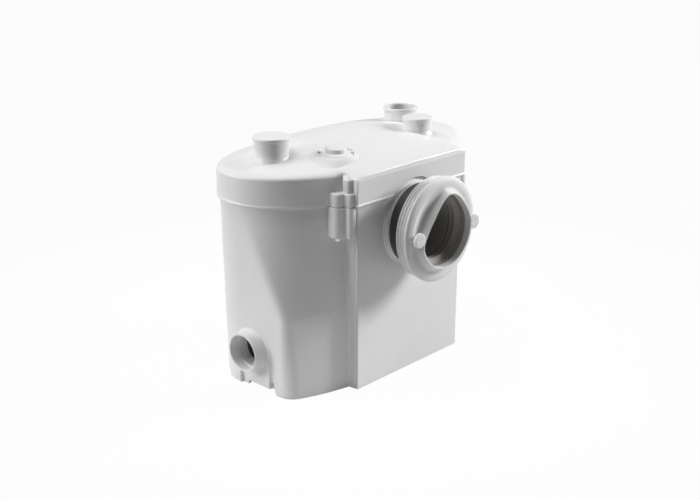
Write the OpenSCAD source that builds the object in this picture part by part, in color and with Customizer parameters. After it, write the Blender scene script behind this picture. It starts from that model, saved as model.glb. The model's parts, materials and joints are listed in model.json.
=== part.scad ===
// Macerator toilet pump, standing on its base.
// X runs to the right seen from the toilet inlet, Y runs to the back, Z is up.
// The origin is on the underside of the centre foot, on the line of the toilet inlet.

/* [Outline of tank and lid] */
// Half length of the lid's oval
oval_a = 175; // [171:0.5:179]
// Reach of the lid's oval in front of its centre line
oval_f = 100; // [97:0.5:102]
// Reach of the lid's oval behind its centre line
oval_b = 86; // [84:0.5:90]
// Distance from the base centre back to the oval's centre line
oval_y = 10; // [8:0.5:12]
// Fullness of the oval, where 2 is an ellipse
oval_n = 2.1; // [2:0.05:2.2]
// Fullness of the oval's rear half at the lid
back_n = 2.4; // [2.1:0.05:2.6]
// How much fuller the tank's rear half is at the ground
back_swell = 0.2; // [0:0.05:0.4]
// Width of the inlet box, over the lid's skirt
box_w = 186; // [178:1:190]
// Distance from the base centre to the front of the inlet box, over the lid's skirt
box_front = 98; // [96:0.5:102]

/* [Tank] */
// Height of the seam between tank and lid
seam_z = 217; // [212:1:222]
// Wall thickness of the tank
tank_wall = 3; // [2.5:0.1:3.5]
// How far the tank's wall stands in from the lid's skirt
skirt_step = 3; // [2.8:0.1:3.4]
// How far the tank's rim reaches up into the lid
rim_h = 9; // [7:0.5:11]
// Height of the floor's underside over the ground
floor_z = 8; // [8:0.5:10]
// How far each side face leans in from the seam to the ground
side_draft = 9; // [6:0.5:12]
// Distance from the oval's centre line to the front corner of the left side face
corner_y = 68; // [60:1:74]
// Height under which the front corner runs straight down
sweep_z = 95; // [80:1:110]
// Rounding of the front corner at the ground
corner_r = 14; // [8:1:18]
// Growth of the front and back reach from the seam to the ground
foot_flare = 4; // [2:0.5:5]
// Radius of the centre foot
centre_foot_r = 16; // [10:1:24]
// Height of the opening under each side edge
side_lift = 7; // [4:0.5:7.5]

/* [Toilet inlet] */
// Height of the inlet's axis over the ground
inlet_z = 180; // [176:1:184]
// Outer radius of the inlet spigot
inlet_r = 40; // [38:0.5:41]
// Bore radius of the inlet spigot
inlet_bore_r = 36.5; // [34:0.5:37]
// Length of the inlet spigot in front of the tank
inlet_len = 22; // [20:0.5:24]
// Outer radius of the raised ring round the spigot
inlet_ring_r = 49; // [47:0.5:50]
// Height of the raised ring
inlet_ring_h = 3.5; // [2:0.25:4]
// Radius of the tank's round tongue under the lid's arch
tongue_r = 52; // [50.5:0.5:53]
// Width of the gasket between the tongue and the arch
arch_gap = 2.5; // [2:0.1:3]

/* [Toilet connector] */
// Thickness of the connector's sleeve
sleeve_t = 5.2; // [4.5:0.1:6]
// Distance from the tank's front to the back of the ribbed flange
flange_y = 25; // [24:0.5:27]
// Radius over the three ribs
flange_r = 58.6; // [56:0.2:60]
// Spacing of the three ribs
rib_pitch = 5; // [4.5:0.1:5.2]
// Depth of the grooves between the ribs
rib_depth = 1.6; // [1:0.1:2]
// Distance from the tank's front to the mouth
mouth_y = 53; // [51:0.5:56]
// Outer radius of the mouth
mouth_r = 43.6; // [43:0.1:44.4]
// Bore radius of the mouth
mouth_bore_r = 41.2; // [40.5:0.1:41.6]
// Bore radius of the sealing fins
fin_r = 35; // [34:0.5:37]
// Radius of the pull lugs
lug_r = 8.5; // [7:0.5:9]
// Width of the clip band
band_w = 11; // [9:0.5:12]
// Thickness of the clip band
band_t = 0.8; // [0.6:0.1:1.2]

/* [Side inlet] */
// Height of the side inlet's axis
side_z = 47; // [46:0.5:49]
// Place of the side inlet's axis along Y
side_y = -3; // [-5:0.5:-1]
// Outer radius of the side spigot
side_r = 22.6; // [22:0.1:23.2]
// Bore radius of the side spigot
side_bore_r = 20.5; // [20:0.1:20.9]
// Distance from the base centre to the rim of the side spigot
side_reach = 180; // [177:0.5:184]
// Radius of the cone at the side spigot's root
side_root_r = 29; // [26:0.5:30]

/* [Lid] */
// Height of the lid's crease, where the skirt ends
crease_z = 247; // [243:1:251]
// Wall thickness of the lid
lid_wall = 2.6; // [2.2:0.1:2.6]
// Width that the rounded shoulder would have as a full quarter
shoulder_w = 20; // [16:1:24]
// Height that the rounded shoulder would have as a full quarter
shoulder_h = 8; // [6:0.5:10]
// Rise of the dome over the shoulder
dome_h = 17.75; // [15:0.25:20]
// Run of the box's sloping top for each millimetre that it rises
box_run = 3.1; // [2.8:0.1:3.4]
// Thickness of the gasket on the tank's rim
gasket_t = 2.5; // [2:0.25:3.5]

/* [Top fittings] */
// Place of the left inlet stub along X
left_x = -123; // [-126:0.5:-120]
// Place of the left inlet stub along Y
left_y = 2; // [0:0.5:6]
// Height of the left inlet stub's rim
left_z = 281; // [279:0.5:284]
// Outer radius of the left inlet stub
left_r = 18.5; // [17.5:0.25:19]
// Place of the right inlet stub along X
right_x = 79; // [77:0.5:81]
// Place of the right inlet stub along Y
right_y = -35; // [-37:0.5:-33]
// Height of the right inlet stub's rim
right_z = 278; // [276:0.5:280]
// Outer radius of the right inlet stub
right_r = 16.6; // [16:0.1:17.2]
// Wall thickness of the inlet stubs
stub_wall = 2.5; // [2:0.1:3]
// Width of the rim by which a blanking cap stands over its skirt
cap_rim = 0.8; // [0.4:0.1:1.2]
// Thickness of a blanking cap's top
cap_t = 3.6; // [3:0.1:4.5]
// Place of the vent along X
vent_x = -69; // [-71:0.5:-67]
// Place of the vent along Y
vent_y = -43; // [-45:0.5:-41]
// Radius of the vent cap's flange
vent_r = 19.3; // [18:0.1:20]
// Radius of the vent cap's knob
knob_r = 12; // [11:0.5:13]
// Height of the vent cap's knob over its flange
knob_h = 5.5; // [4:0.5:7]

/* [Discharge] */
// Place of the discharge socket along X
out_x = 103; // [101:0.5:105]
// Place of the discharge socket along Y
out_y = 12; // [10:0.5:14]
// Height of the discharge socket's rim
out_z = 283; // [281:0.5:287]
// Outer radius of the discharge socket
out_r = 20.2; // [19.8:0.1:20.8]
// Bore radius of the discharge socket
out_bore_r = 18.4; // [18:0.1:18.8]
// Radius of the discharge socket's flared rim
out_rim_r = 23; // [22:0.25:24]
// Outer radius of the discharge pipe
pipe_r = 14.2; // [13.8:0.1:14.6]
// Wall thickness of the discharge pipe
pipe_wall = 2.1; // [1.8:0.1:2.4]
// Bend radius of the discharge pipe
bend_r = 30; // [26:1:34]
// Opening angle of the check valve's flap
flap_open = 65; // [50:5:65]

/* [Motor and pump] */
// Place of the motor's axis along X
motor_x = -85; // [-87:0.5:-83]
// Outer radius of the motor housing
can_r = 42; // [40:0.5:42.5]
// Height of the motor housing's underside
can_z = 100; // [98:0.5:102]
// Height of the motor housing's rim
can_top = 232; // [230:0.5:234]
// Length of the rotor and stator cores
core_l = 60; // [50:1:64]
// Radius of the rotor core
rotor_r = 22; // [20:0.5:23]
// Radius of the shaft
shaft_r = 5; // [4.5:0.1:5.5]
// Outer radius of the bearings
bearing_r = 13; // [12:0.5:13.5]
// Width of the bearings
bearing_w = 9; // [8:0.5:10]
// Outer radius of the pump casing
pump_r = 38; // [37:0.5:39]
// Wall thickness of the pump casing
pump_wall = 3; // [2.5:0.1:3.5]
// Height of the pump casing's underside
pump_z = 62; // [61:0.5:63]
// Height of the pump casing
pump_h = 26; // [26:0.5:28]
// Radius of the impeller
impeller_r = 29; // [26:0.5:30]
// Number of impeller vanes
impeller_n = 6; // [4:1:8]
// Radius that the macerator blade sweeps
blade_r = 36; // [30:0.5:38]
// Height of the macerator blade
blade_z = 37; // [34:0.5:40]
// Outer radius of the cutting basket's round ends
basket_r = 45; // [43:0.5:45]
// Wall thickness of the cutting basket
basket_wall = 2.5; // [2:0.1:3]
// Number of slots round each end of the basket
basket_slots = 14; // [10:1:16]

/* [Control gear] */
// Width of the control box
gear_w = 100; // [96:1:102]
// Depth of the control box
gear_d = 36; // [34:0.5:37]
// Height of the control box
gear_h = 30; // [28:0.5:31]
// Thickness of the carrier plate
plate_t = 3.5; // [3:0.1:4]
// Place of the dip tube along X
dip_x = 22; // [20:0.5:24]
// Outer radius of the dip tube
dip_r = 13; // [12:0.5:13.5]
// Travel of the switch plunger
plunger_travel = 1.5; // [1:0.1:2]
// Radius of the supply cable that the gland is made for
cable_r = 3.6; // [3.2:0.1:4]

/* [Hidden] */
$fn = 64;

// Small allowances shared by the pieces
fit = 0.1;
gap = 0.3;

// Colours
white = [0.93, 0.93, 0.92];
off_white = [0.88, 0.88, 0.87];
rubber_white = [0.9, 0.9, 0.89];
black = [0.1, 0.1, 0.1];
steel = [0.72, 0.73, 0.75];
copper = [0.75, 0.42, 0.2];
grey = [0.5, 0.51, 0.53];

// Points along the front of the box, and round the oval
front_n = 6;
round_n = 44;

// Tank's own reference sizes, at the seam
tank_a = oval_a - skirt_step;
tank_f = oval_f - skirt_step;
tank_b = oval_b - skirt_step;
tank_w = box_w / 2 - skirt_step;
face_y = -(box_front - skirt_step);
rim_z = seam_z + rim_h;
floor_top = floor_z + tank_wall;
ledge_z = rim_z + gasket_t;
ledge_in = skirt_step + tank_wall + 0.2;

// Half chord of an oval with semi axes a and b at the place x
function chord(x, a, b, n = oval_n) = b * pow(max(0, 1 - pow(abs(x) / a, n)), 1 / n);

// The smaller of two lengths, with a soft change of width k
function soft_min(p, q, k) = min(p, q) - pow(max(k - abs(p - q), 0), 2) / (4 * k);

// One point of the oval at the angle t: the front left quarter has the half length a and is held
// inside the side face at x = side, the rear half has the fullness back
function oval_point(t, a, plain, f, b, side, k, back) =
    let (c = cos(t), s = sin(t), n = s < 0 ? oval_n : back,
        x = (s < 0 && c < 0 ? a : plain) * pow(abs(c), 2 / n),
        y = (s < 0 ? f : b) * pow(abs(s), 2 / n))
    [sign(c) * (s < 0 && c < 0 ? soft_min(x, side, k) : x), oval_y + sign(s) * y];

// Plan of the oval joined with the box: box corners at x = w, box front at y = fy.
// With a side face, only the front left quarter reaches out into a corner.
function plan(a, f, b, w, fy, back, side = 1000, k = 1) =
    let (plain = side == 1000 ? a : soft_min(a, side, k),
        t0 = acos(pow(w / plain, oval_n / 2)), t1 = acos(pow(w / a, oval_n / 2)))
    concat(
        [for (j = [0:front_n]) let (x = -w + 2 * w * j / front_n)
            [x, min(fy, oval_y - chord(x, x < 0 ? a : plain, f))]],
        [for (j = [0:round_n]) oval_point(-t0 + (180 + t0 + t1) * j / round_n, a, plain, f, b, side, k, back)]
    );

// A closed solid through rings that all have the same number of points.
// From the row turn on, each four-sided patch is split along its other diagonal.
function at_height(ring, z) = [for (p = ring) [p[0], p[1], z]];
module loft(rings, turn = 1000) {
    n = len(rings[0]);
    m = len(rings);
    centres = [for (r = [rings[0], rings[m - 1]]) [0, oval_y, r[0][2]]];
    polyhedron(
        points = concat([for (r = rings) each r], centres),
        faces = concat(
            [for (j = [0:n - 1]) [n * m, j, (j + 1) % n]],
            [for (i = [0:m - 2], j = [0:n - 1]) let (k = (j + 1) % n)
                [i * n + j, (i + 1) * n + j, i < turn ? (i + 1) * n + k : i * n + k]],
            [for (i = [0:m - 2], j = [0:n - 1]) let (k = (j + 1) % n)
                [i < turn ? i * n + j : (i + 1) * n + j, (i + 1) * n + k, i * n + k]],
            [for (j = [0:n - 1]) [n * m + 1, (m - 1) * n + (j + 1) % n, (m - 1) * n + j]]
        ),
        convexity = 10
    );
}

// Tank plan at the height z, drawn in by the length i
function rise(z) = min(1, z / seam_z);
function side_x(z) = tank_a - side_draft * (1 - rise(z));
function reach_f(z) = tank_f + foot_flare * (1 - rise(z));
function reach_b(z) = tank_b + foot_flare * 0.75 * (1 - rise(z));
function corner_at(z) = corner_y * max(0, min(1, (seam_z - z) / (seam_z - sweep_z)));
function flare_a(z) = side_x(z) / pow(1 - pow(corner_at(z) / reach_f(z), oval_n), 1 / oval_n);
function tank_back_n(z) = back_n + back_swell * (1 - rise(z));
function tank_ring(z, i) = at_height(
    plan(flare_a(z) - i, reach_f(z) - i, reach_b(z) - i, tank_w - i, face_y + i, tank_back_n(z),
        side_x(z) - i, 1 + (corner_r - 1) * (1 - rise(z))), z);

// Safe reach for what stands at the back at the place x, whatever the fullness there
function inner_back(x) = oval_y + chord(x, tank_a - tank_wall, tank_b - tank_wall);

// Lid plan: the shoulder as a part of a quarter round, then the dome
shoulder_end = 65;
shoulder_in = shoulder_w * (1 - cos(shoulder_end));
shoulder_top = crease_z + shoulder_h * sin(shoulder_end);
box_narrow = 0.8;
function box_line(z) = -box_front + (z > crease_z ? 0.8 + box_run * (z - crease_z) : 0);
function skirt_ring(z, i) = at_height(
    plan(oval_a - i, oval_f - i, oval_b - i, box_w / 2 - i, -box_front + i, back_n), z);
function shoulder_ring(q, i) =
    let (d = shoulder_w * (1 - cos(q)), z = crease_z + shoulder_h * sin(q))
    at_height(plan(oval_a - d - i, oval_f - d - i, oval_b - d - i,
        box_w / 2 - box_narrow * (z - crease_z) - i, box_line(z) + i, back_n), z - i);
dome_a = oval_a - shoulder_in;
dome_f = oval_f - shoulder_in;
dome_b = oval_b - shoulder_in;
dome_w = box_w / 2 - box_narrow * (shoulder_top - crease_z);
dome_proud = oval_y - chord(dome_w, dome_a, dome_f) - box_line(shoulder_top);
function dome_ring(k, i) =
    let (a = (dome_a - i) * k, f = (dome_f - i) * k, b = (dome_b - i) * k,
        w = min(dome_w - i, 0.55 * dome_a) * k)
    at_height(plan(a, f, b, w, oval_y - chord(w, a, f) - dome_proud * k * k - 0.1, back_n),
        shoulder_top + dome_h * (1 - k * k) - i);
function dome_z(x, y) = shoulder_top + dome_h * (1 - pow(x / dome_a, 2) - pow((y - oval_y) / (y < oval_y ? dome_f : dome_b), 2));
dome_steps = [0.9, 0.8, 0.65, 0.5, 0.3, 0.1];

// A tube, and a plain ring plate, both standing on the plane z = 0
module tube(h, r_out, r_in) {
    difference() {
        cylinder(h = h, r = r_out);
        translate([0, 0, -1]) cylinder(h = h + 2, r = r_in);
    }
}

// Places a child whose own Z axis then points forward, out of the toilet inlet
module at_inlet(y) {
    translate([0, y, inlet_z]) rotate([90, 0, 0]) children();
}

// Places a child whose own Z axis then points left, out of the side inlet
module at_side(x) {
    translate([x, side_y, side_z]) rotate([0, -90, 0]) children();
}

// Screw bosses: a lobe for the screw and a rib beside the box corner, and a lobe at the back
lobe_x = box_w / 2 + 10;
lobe_y = -box_front + 20;
lobe_r = 7;
rib_x = box_w / 2 + 2.5;
rib_y = -box_front + 8.5;
rib_r = 5;
rear_r = 6;
boss_low = seam_z - 35;
boss_top = seam_z + 19;
boss_grow = 1.4;
screw_r = 1.9;
rear_lobe_y = oval_y + chord(lobe_x, oval_a, oval_b, back_n) + rear_r - 1.5;
module both_sides() {
    children();
    mirror([1, 0, 0]) children();
}
module lobes(a, f, b, z0, z1, grow) {
    h = z1 - z0;
    bite = 1;
    half = 4;
    rib_back = oval_y - chord(rib_x, a, f) + bite;
    lobe_back = oval_y - chord(lobe_x, a, f) + bite;
    rear_front = oval_y + chord(lobe_x, a, b, back_n) - bite;
    translate([lobe_x, lobe_y, z0]) cylinder(h = h, r = lobe_r + grow);
    translate([rib_x, rib_y, z0]) cylinder(h = h, r = rib_r + grow);
    translate([rib_x - half, rib_y, z0]) cube([lobe_x - rib_x + half, rib_back - rib_y, h]);
    translate([lobe_x - half, lobe_y, z0]) cube([2 * half, lobe_back - lobe_y, h]);
    translate([lobe_x, rear_lobe_y, z0]) cylinder(h = h, r = rear_r + grow);
    translate([lobe_x - half, rear_front, z0]) cube([2 * half, rear_lobe_y - rear_front, h]);
}
module lobe_holes(r, z0, z1) {
    both_sides() {
        translate([lobe_x, lobe_y, z0]) cylinder(h = z1 - z0, r = r, $fn = 32);
        translate([lobe_x, rear_lobe_y, z0]) cylinder(h = z1 - z0, r = r, $fn = 32);
    }
}

// Bosses on the tank's wall that carry the carrier plate
plate_z = seam_z - 12;
carry_xs = [22 - tank_a, -20, 62, tank_a - 22];
carry_r = 7;
carry_in = tank_wall + carry_r - 1.5;
function carry_y(x) = oval_y + chord(x, tank_a - carry_in, tank_b - carry_in, back_n);
carry_low = plate_z - 27;
carry_screw_r = 1.8;

// Motor axis: as far back as the basket allows
motor_y = inner_back(motor_x) - basket_r - 0.2;
basket_end_x = -2;
basket_end_y = -38;

// Levels of the pump and the motor
pump_top = pump_z + pump_h;
cover_t = 4;
cover_z = pump_z - cover_t;
outlet_z = pump_z + pump_h / 2;
can_wall = 2.5;
can_floor = 4;
can_in = can_r - can_wall;
hub_h = 4;
bearing_z = can_z + can_floor;
core_z = can_z + 30;
seat_r = bearing_r + fit / 2;
seat_t = 3.4;
upper_z = can_top - bearing_w - 5.7;
shaft_low = blade_z - 10;
shaft_top = upper_z + bearing_w + 0.5;
slot_n = 12;
slot_w = 6.3;
slot_r = 26;
wind_r = 36;
head_l = 13;
flange_w = 0.9;
flange_t = 3.5;
ear_angles = [190, -15, 50];
ear_at = can_r + 5;
ear_r = 6;
cover_screw_at = can_in - 3;
cover_screw_r = 1.5;
cover_lip = 3;
cover_plate = 3.5;

// Discharge line
outlet_r = 12;
outlet_l = 65;
socket_l = 16;
outlet_end = motor_x + outlet_l;
pipe_start = outlet_end - socket_l;
pipe_top = 198;
valve_z = 184;
valve_top = 238;
valve_r = 19;
chamber_r = 16;
seat_z = 198;
seat_plate_t = 4;
flap_x = out_x - 12;
flap_z = seat_z + seat_plate_t + 3.2;
flap_r = 12.5;
valve_pin_r = 1.3;
valve_pin_l = 27;

// Control gear
gear_x0 = -2;
gear_y0 = 33;
gear_wall = 2;
gear_z = plate_z + plate_t;
gear_floor = gear_z + gear_wall;
dip_y = gear_y0 + gear_d / 2;
dip_low = floor_top + 3;
membrane_t = 1.2;
plunger_r = 2;
plunger_z = gear_floor + membrane_t + gap;
switch_z = gear_floor + 15.5;

// Side inlet valve
side_seat_x = -(side_x(0) - tank_wall) + 0.8;
side_flap_x = side_seat_x + 2.9;
side_hinge_x = side_flap_x + 3.1;
side_hinge_z = side_z + 23;
side_pin_r = 1.5;
side_pin_l = 24.4;
side_ear_at = 10.5;

// Vent seat on the lid
vent_z = dome_z(vent_x, vent_y) + 2;
vent_flange_t = 2.5;
vent_hole_r = 9;

// Cable gland in the lid's back
gland_x = 40;
gland_z = crease_z - 6;
gland_y = 96;
gland_in = 86;
gland_r = 6.5;
gland_boss_r = 10.5;

module side_wedge(y0, y1, root = 1.5) {
    foot = side_x(0);
    proud = 5.5;
    top = 70;
    translate([0, y1, 0]) rotate([90, 0, 0]) linear_extrude(y1 - y0)
        polygon([
            [-foot + root, 0], [-foot - proud, 0], [-foot - proud, 8],
            [-side_x(top) - 0.1, top], [-side_x(top) + root, top]
        ]);
}

module tank() {
    sweep_n = 12;
    outer_z = concat([0, sweep_z / 2], [for (j = [0:sweep_n]) sweep_z + (seam_z - sweep_z) * pow(j / sweep_n, 1.4)]);
    root = side_x(0) + 0.4;
    color(white) difference() {
        union() {
            loft(concat(
                [tank_ring(floor_z, tank_wall), tank_ring(0, tank_wall)],
                [for (z = outer_z) tank_ring(z, 0)],
                [at_height(tank_ring(seam_z, 0), rim_z), at_height(tank_ring(seam_z, tank_wall), rim_z)],
                [for (j = [len(outer_z) - 1:-1:1]) tank_ring(outer_z[j], tank_wall)],
                [tank_ring(floor_top, tank_wall)]
            ), turn = len(outer_z) + 2);
            at_inlet(face_y + tank_wall - 0.1) cylinder(h = tank_wall - 0.2, r = tongue_r, $fn = 96);
            at_inlet(face_y + 0.5) cylinder(h = inlet_ring_h + 0.5, r = inlet_ring_r, $fn = 96);
            at_inlet(face_y + 0.5) cylinder(h = inlet_len + 0.5, r = inlet_r, $fn = 96);
            at_side(-root) cylinder(h = side_reach - root, r = side_r);
            at_side(-root) cylinder(h = 9, r1 = side_root_r, r2 = side_r + 0.4);
            side_wedge(side_y - side_root_r, 4);
            side_wedge(16, 38, 4.4);
            both_sides() lobes(tank_a, tank_f, tank_b, boss_low, seam_z - gap, boss_grow);
            for (x = carry_xs) translate([x, carry_y(x), carry_low]) cylinder(h = plate_z - carry_low, r = carry_r);
            cylinder(h = floor_z + 1, r = centre_foot_r);
            translate([-140, -1.5, 0.5]) cube([280, 3, floor_z]);
            translate([-1.5, -86, 0.5]) cube([3, 166, floor_z]);
        }
        at_inlet(face_y + 10) cylinder(h = inlet_len + 20, r = inlet_bore_r, $fn = 96);
        at_side(15 - side_x(0)) cylinder(h = side_reach, r = side_bore_r);
        translate([-200, -38, -1]) cube([50, 54, side_lift + 1]);
        translate([-200, -33.4, 0]) cube([200 - side_x(0) - 0.5, 2, 14]);
        both_sides() translate([tank_w - 0.8, face_y + 0.7, -1]) cube([2, 1.3, boss_low]);
        lobe_holes(screw_r + 0.2, boss_low - 1, seam_z + 1);
        for (x = carry_xs) translate([x, carry_y(x), plate_z - 24]) cylinder(h = 25, r = carry_screw_r + fit / 2, $fn = 32);
    }
}

module lid_stub(x, y, z, r) {
    translate([x, y, dome_z(x, y) - 5]) cylinder(h = z - dome_z(x, y) + 5, r = r);
}

module lid() {
    shoulder_steps = [for (q = [0:13:shoulder_end]) q];
    last = len(shoulder_steps) - 1;
    color(white) difference() {
        union() {
            loft(concat(
                [for (j = [len(dome_steps) - 1:-1:0]) dome_ring(dome_steps[j], lid_wall)],
                [for (j = [last:-1:0]) shoulder_ring(shoulder_steps[j], lid_wall)],
                [skirt_ring(ledge_z + 3, lid_wall), skirt_ring(ledge_z + 3, ledge_in)],
                [skirt_ring(ledge_z, ledge_in), skirt_ring(ledge_z, lid_wall)],
                [skirt_ring(seam_z, lid_wall), skirt_ring(seam_z, -0.4)],
                [skirt_ring(seam_z + 2, -0.4), skirt_ring(seam_z + 2.6, 0)],
                [for (q = shoulder_steps) shoulder_ring(q, 0)],
                [for (k = dome_steps) dome_ring(k, 0)]
            ));
            lid_stub(left_x, left_y, left_z, left_r);
            lid_stub(right_x, right_y, right_z, right_r);
            translate([vent_x, vent_y, vent_z - 9]) cylinder(h = 9, r = vent_r + 1.2);
            both_sides() lobes(oval_a, oval_f, oval_b, seam_z, boss_top, 0);
            both_sides() translate([rib_x, rib_y, boss_top - 1]) cylinder(h = 16, r = rib_r - 0.8);
            translate([gland_x, gland_y, gland_z]) rotate([90, 0, 0]) cylinder(h = gland_y - gland_in, r = gland_boss_r);
        }
        at_inlet(face_y + 9) cylinder(h = 18, r = tongue_r + arch_gap, $fn = 96);
        translate([left_x, left_y, seam_z]) cylinder(h = left_z, r = left_r - stub_wall);
        translate([right_x, right_y, seam_z]) cylinder(h = right_z, r = right_r - stub_wall);
        translate([out_x, out_y, seam_z]) cylinder(h = out_z, r = out_r + gap);
        translate([vent_x, vent_y, vent_z - vent_flange_t - 0.2]) cylinder(h = 10, r = vent_r + gap);
        translate([vent_x, vent_y, seam_z]) cylinder(h = vent_z, r = vent_hole_r);
        translate([gland_x, gland_y + 5, gland_z]) rotate([90, 0, 0]) cylinder(h = 20, r = gland_r + fit);
        both_sides() translate([box_w / 2 - 1.6, -box_front - 1, seam_z + 3]) cube([2.6, 4.4, crease_z - seam_z - 2]);
        lobe_holes(screw_r + fit / 2, seam_z - 1, boss_top - 5);
    }
}

module lid_gasket() {
    in = 0.2;
    color(black) translate([0, 0, rim_z]) {
        difference() {
            linear_extrude(gasket_t) difference() {
                polygon([for (p = tank_ring(seam_z, in)) [p[0], p[1]]]);
                polygon([for (p = tank_ring(seam_z, tank_wall - in)) [p[0], p[1]]]);
            }
            translate([0, 0, -rim_z]) at_inlet(face_y + 9) cylinder(h = 18, r = tongue_r + arch_gap - 0.1, $fn = 96);
        }
        translate([0, 0, -rim_z]) intersection() {
            at_inlet(face_y + tank_wall - in) difference() {
                cylinder(h = tank_wall - 2 * in, r = tongue_r + arch_gap - 0.05, $fn = 96);
                translate([0, 0, -1]) cylinder(h = tank_wall + 2, r = tongue_r + 0.1, $fn = 96);
            }
            translate([-60, -120, rim_z]) cube([120, 60, 40]);
        }
    }
}

module lid_screws() {
    head_h = 3.4;
    end = boss_top - 6;
    color(steel) both_sides() for (y = [lobe_y, rear_lobe_y]) {
        translate([lobe_x, y, boss_low - 1]) cylinder(h = end - boss_low + 1, r = screw_r, $fn = 32);
        translate([lobe_x, y, boss_low - head_h]) cylinder(h = head_h, r = 2 * screw_r, $fn = 32);
    }
}

module foot_pads() {
    pad_r = 9;
    in = 45;
    color(black) both_sides() for (y = [oval_y - 53, oval_y + 48])
        translate([side_x(0) - in, y, 0]) cylinder(h = floor_z, r = pad_r);
}

// Connector's outline as points of radius and distance from the tank's front
sleeve_in = inlet_r + fit;
sleeve_out = sleeve_in + sleeve_t;
ribs_end = flange_y + 3 * rib_pitch;
bell_r = flange_r - 0.6;
neck_r = mouth_r + 1;
neck_y = mouth_y - 3.5;
turn_r = 49.5;
turn_y = ribs_end + 0.58 * (neck_y - ribs_end);
lip_y = flange_y + 12;
fin_ys = [38, 32.5];
module wc_connector() {
    profile = concat(
        [[sleeve_in, inlet_ring_h + 0.5], [sleeve_out, inlet_ring_h + 0.5], [sleeve_out, lip_y]],
        [[sleeve_out + 1.2, lip_y + 1.5], [flange_r - 5.2, lip_y + 1.5], [flange_r - 4, lip_y]],
        [[flange_r - 4, flange_y]],
        [for (k = [0:2], q = [0, 1, 2]) [
            flange_r - (q == 0 ? rib_depth : 0.2 * q * (q - 1)),
            flange_y + rib_pitch * (k + [0, 0.3, 0.62][q])
        ]],
        [[flange_r - rib_depth, ribs_end - 0.6]],
        [for (t = [0:15:90]) [turn_r + (bell_r - turn_r) * cos(t), ribs_end + (turn_y - ribs_end) * sin(t)]],
        [for (t = [15:15:90]) [neck_r + (turn_r - neck_r) * (1 - sin(t)), turn_y + (neck_y - turn_y) * (1 - cos(t))]],
        [[mouth_r + 0.5, mouth_y - 1.2], [mouth_r, mouth_y - 0.3], [mouth_r - 0.7, mouth_y]],
        [[mouth_bore_r + 0.4, mouth_y], [mouth_bore_r, mouth_y - 0.6]],
        [for (y = fin_ys) each [[mouth_bore_r, y], [fin_r, y - 3.4], [fin_r, y - 4.6], [mouth_bore_r, y - 2.2]]],
        [[mouth_bore_r, inlet_len + 2], [sleeve_in, inlet_len + 2]]
    );
    color(rubber_white) union() {
        at_inlet(face_y) rotate_extrude($fn = 96) polygon(profile);
        for (s = [-1, 1]) translate([s * (mouth_r + 4), face_y - neck_y, inlet_z]) rotate([90, 0, 0])
            difference() {
                translate([0, 0, -4]) cylinder(h = 4, r = lug_r);
                translate([-s * (mouth_r + 4), 0, -5]) cylinder(h = 6, r = mouth_r - 0.6, $fn = 96);
            }
    }
}

// Clip band round the connector's sleeve, with the worm housing under it
band_in = sleeve_out + fit / 2;
band_y = face_y - inlet_ring_h - 4;
worm_r = 3;
worm_z = inlet_z - band_in - band_t - worm_r - 1.2;
module wc_clip_band() {
    color(black) difference() {
        union() {
            at_inlet(band_y) tube(band_w, band_in + band_t, band_in, $fn = 96);
            translate([-7, band_y - band_w, worm_z - worm_r - 1]) cube([14, band_w, 2 * worm_r + 2.6]);
        }
        at_inlet(band_y + 1) cylinder(h = band_w + 2, r = band_in, $fn = 96);
        translate([-12, band_y - band_w / 2, worm_z]) rotate([0, 90, 0]) cylinder(h = 24, r = worm_r + fit, $fn = 32);
    }
}

module wc_clip_screw() {
    color(steel) translate([0, band_y - band_w / 2, worm_z]) rotate([0, 90, 0]) {
        translate([0, 0, -9]) cylinder(h = 17, r = worm_r, $fn = 32);
        translate([0, 0, -13]) cylinder(h = 4, r = worm_r + 1.4, $fn = 6);
    }
}

// A blanking cap over a stub of radius r whose rim is at the height z
module blanking_cap(x, y, z, r) {
    skirt_in = r + gap;
    skirt_out = skirt_in + 2.6;
    low = dome_z(x * 0.83, y * 0.83) + 1.6;
    top = z + gap;
    color(white) translate([x, y, 0]) difference() {
        union() {
            translate([0, 0, low]) cylinder(h = top - low, r1 = skirt_out - 1, r2 = skirt_out);
            translate([0, 0, top]) cylinder(h = cap_t - 0.8, r = skirt_out + cap_rim);
            translate([0, 0, top + cap_t - 0.8]) cylinder(h = 0.8, r1 = skirt_out + cap_rim, r2 = skirt_out + cap_rim - 0.8);
        }
        translate([0, 0, low - 1]) cylinder(h = top - low + 1, r = skirt_in);
    }
}
module left_inlet_cap() {
    blanking_cap(left_x, left_y, left_z, left_r);
}
module right_inlet_cap() {
    blanking_cap(right_x, right_y, right_z, right_r);
}

module vent_cap() {
    color(white) translate([vent_x, vent_y, vent_z - vent_flange_t]) difference() {
        union() {
            cylinder(h = vent_flange_t, r = vent_r);
            cylinder(h = vent_flange_t + knob_h - 1, r = knob_r);
            translate([0, 0, vent_flange_t + knob_h - 1]) cylinder(h = 1, r1 = knob_r, r2 = knob_r - 1);
            translate([0, 0, -6]) cylinder(h = 7, r = vent_hole_r - gap);
        }
        rotate(-45) for (s = [-1, 1]) translate([s * (vent_r - 2), 0, vent_flange_t / 2]) cube([4.4, 5, 6], center = true);
        translate([0, 0, -7]) cylinder(h = 9, r = vent_hole_r - 2.5);
    }
}

module vent_filter() {
    top = vent_z - vent_flange_t - 6.2 - gap;
    color(black) translate([vent_x, vent_y, top - 5]) cylinder(h = 5, r = vent_hole_r + 3);
}

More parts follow.
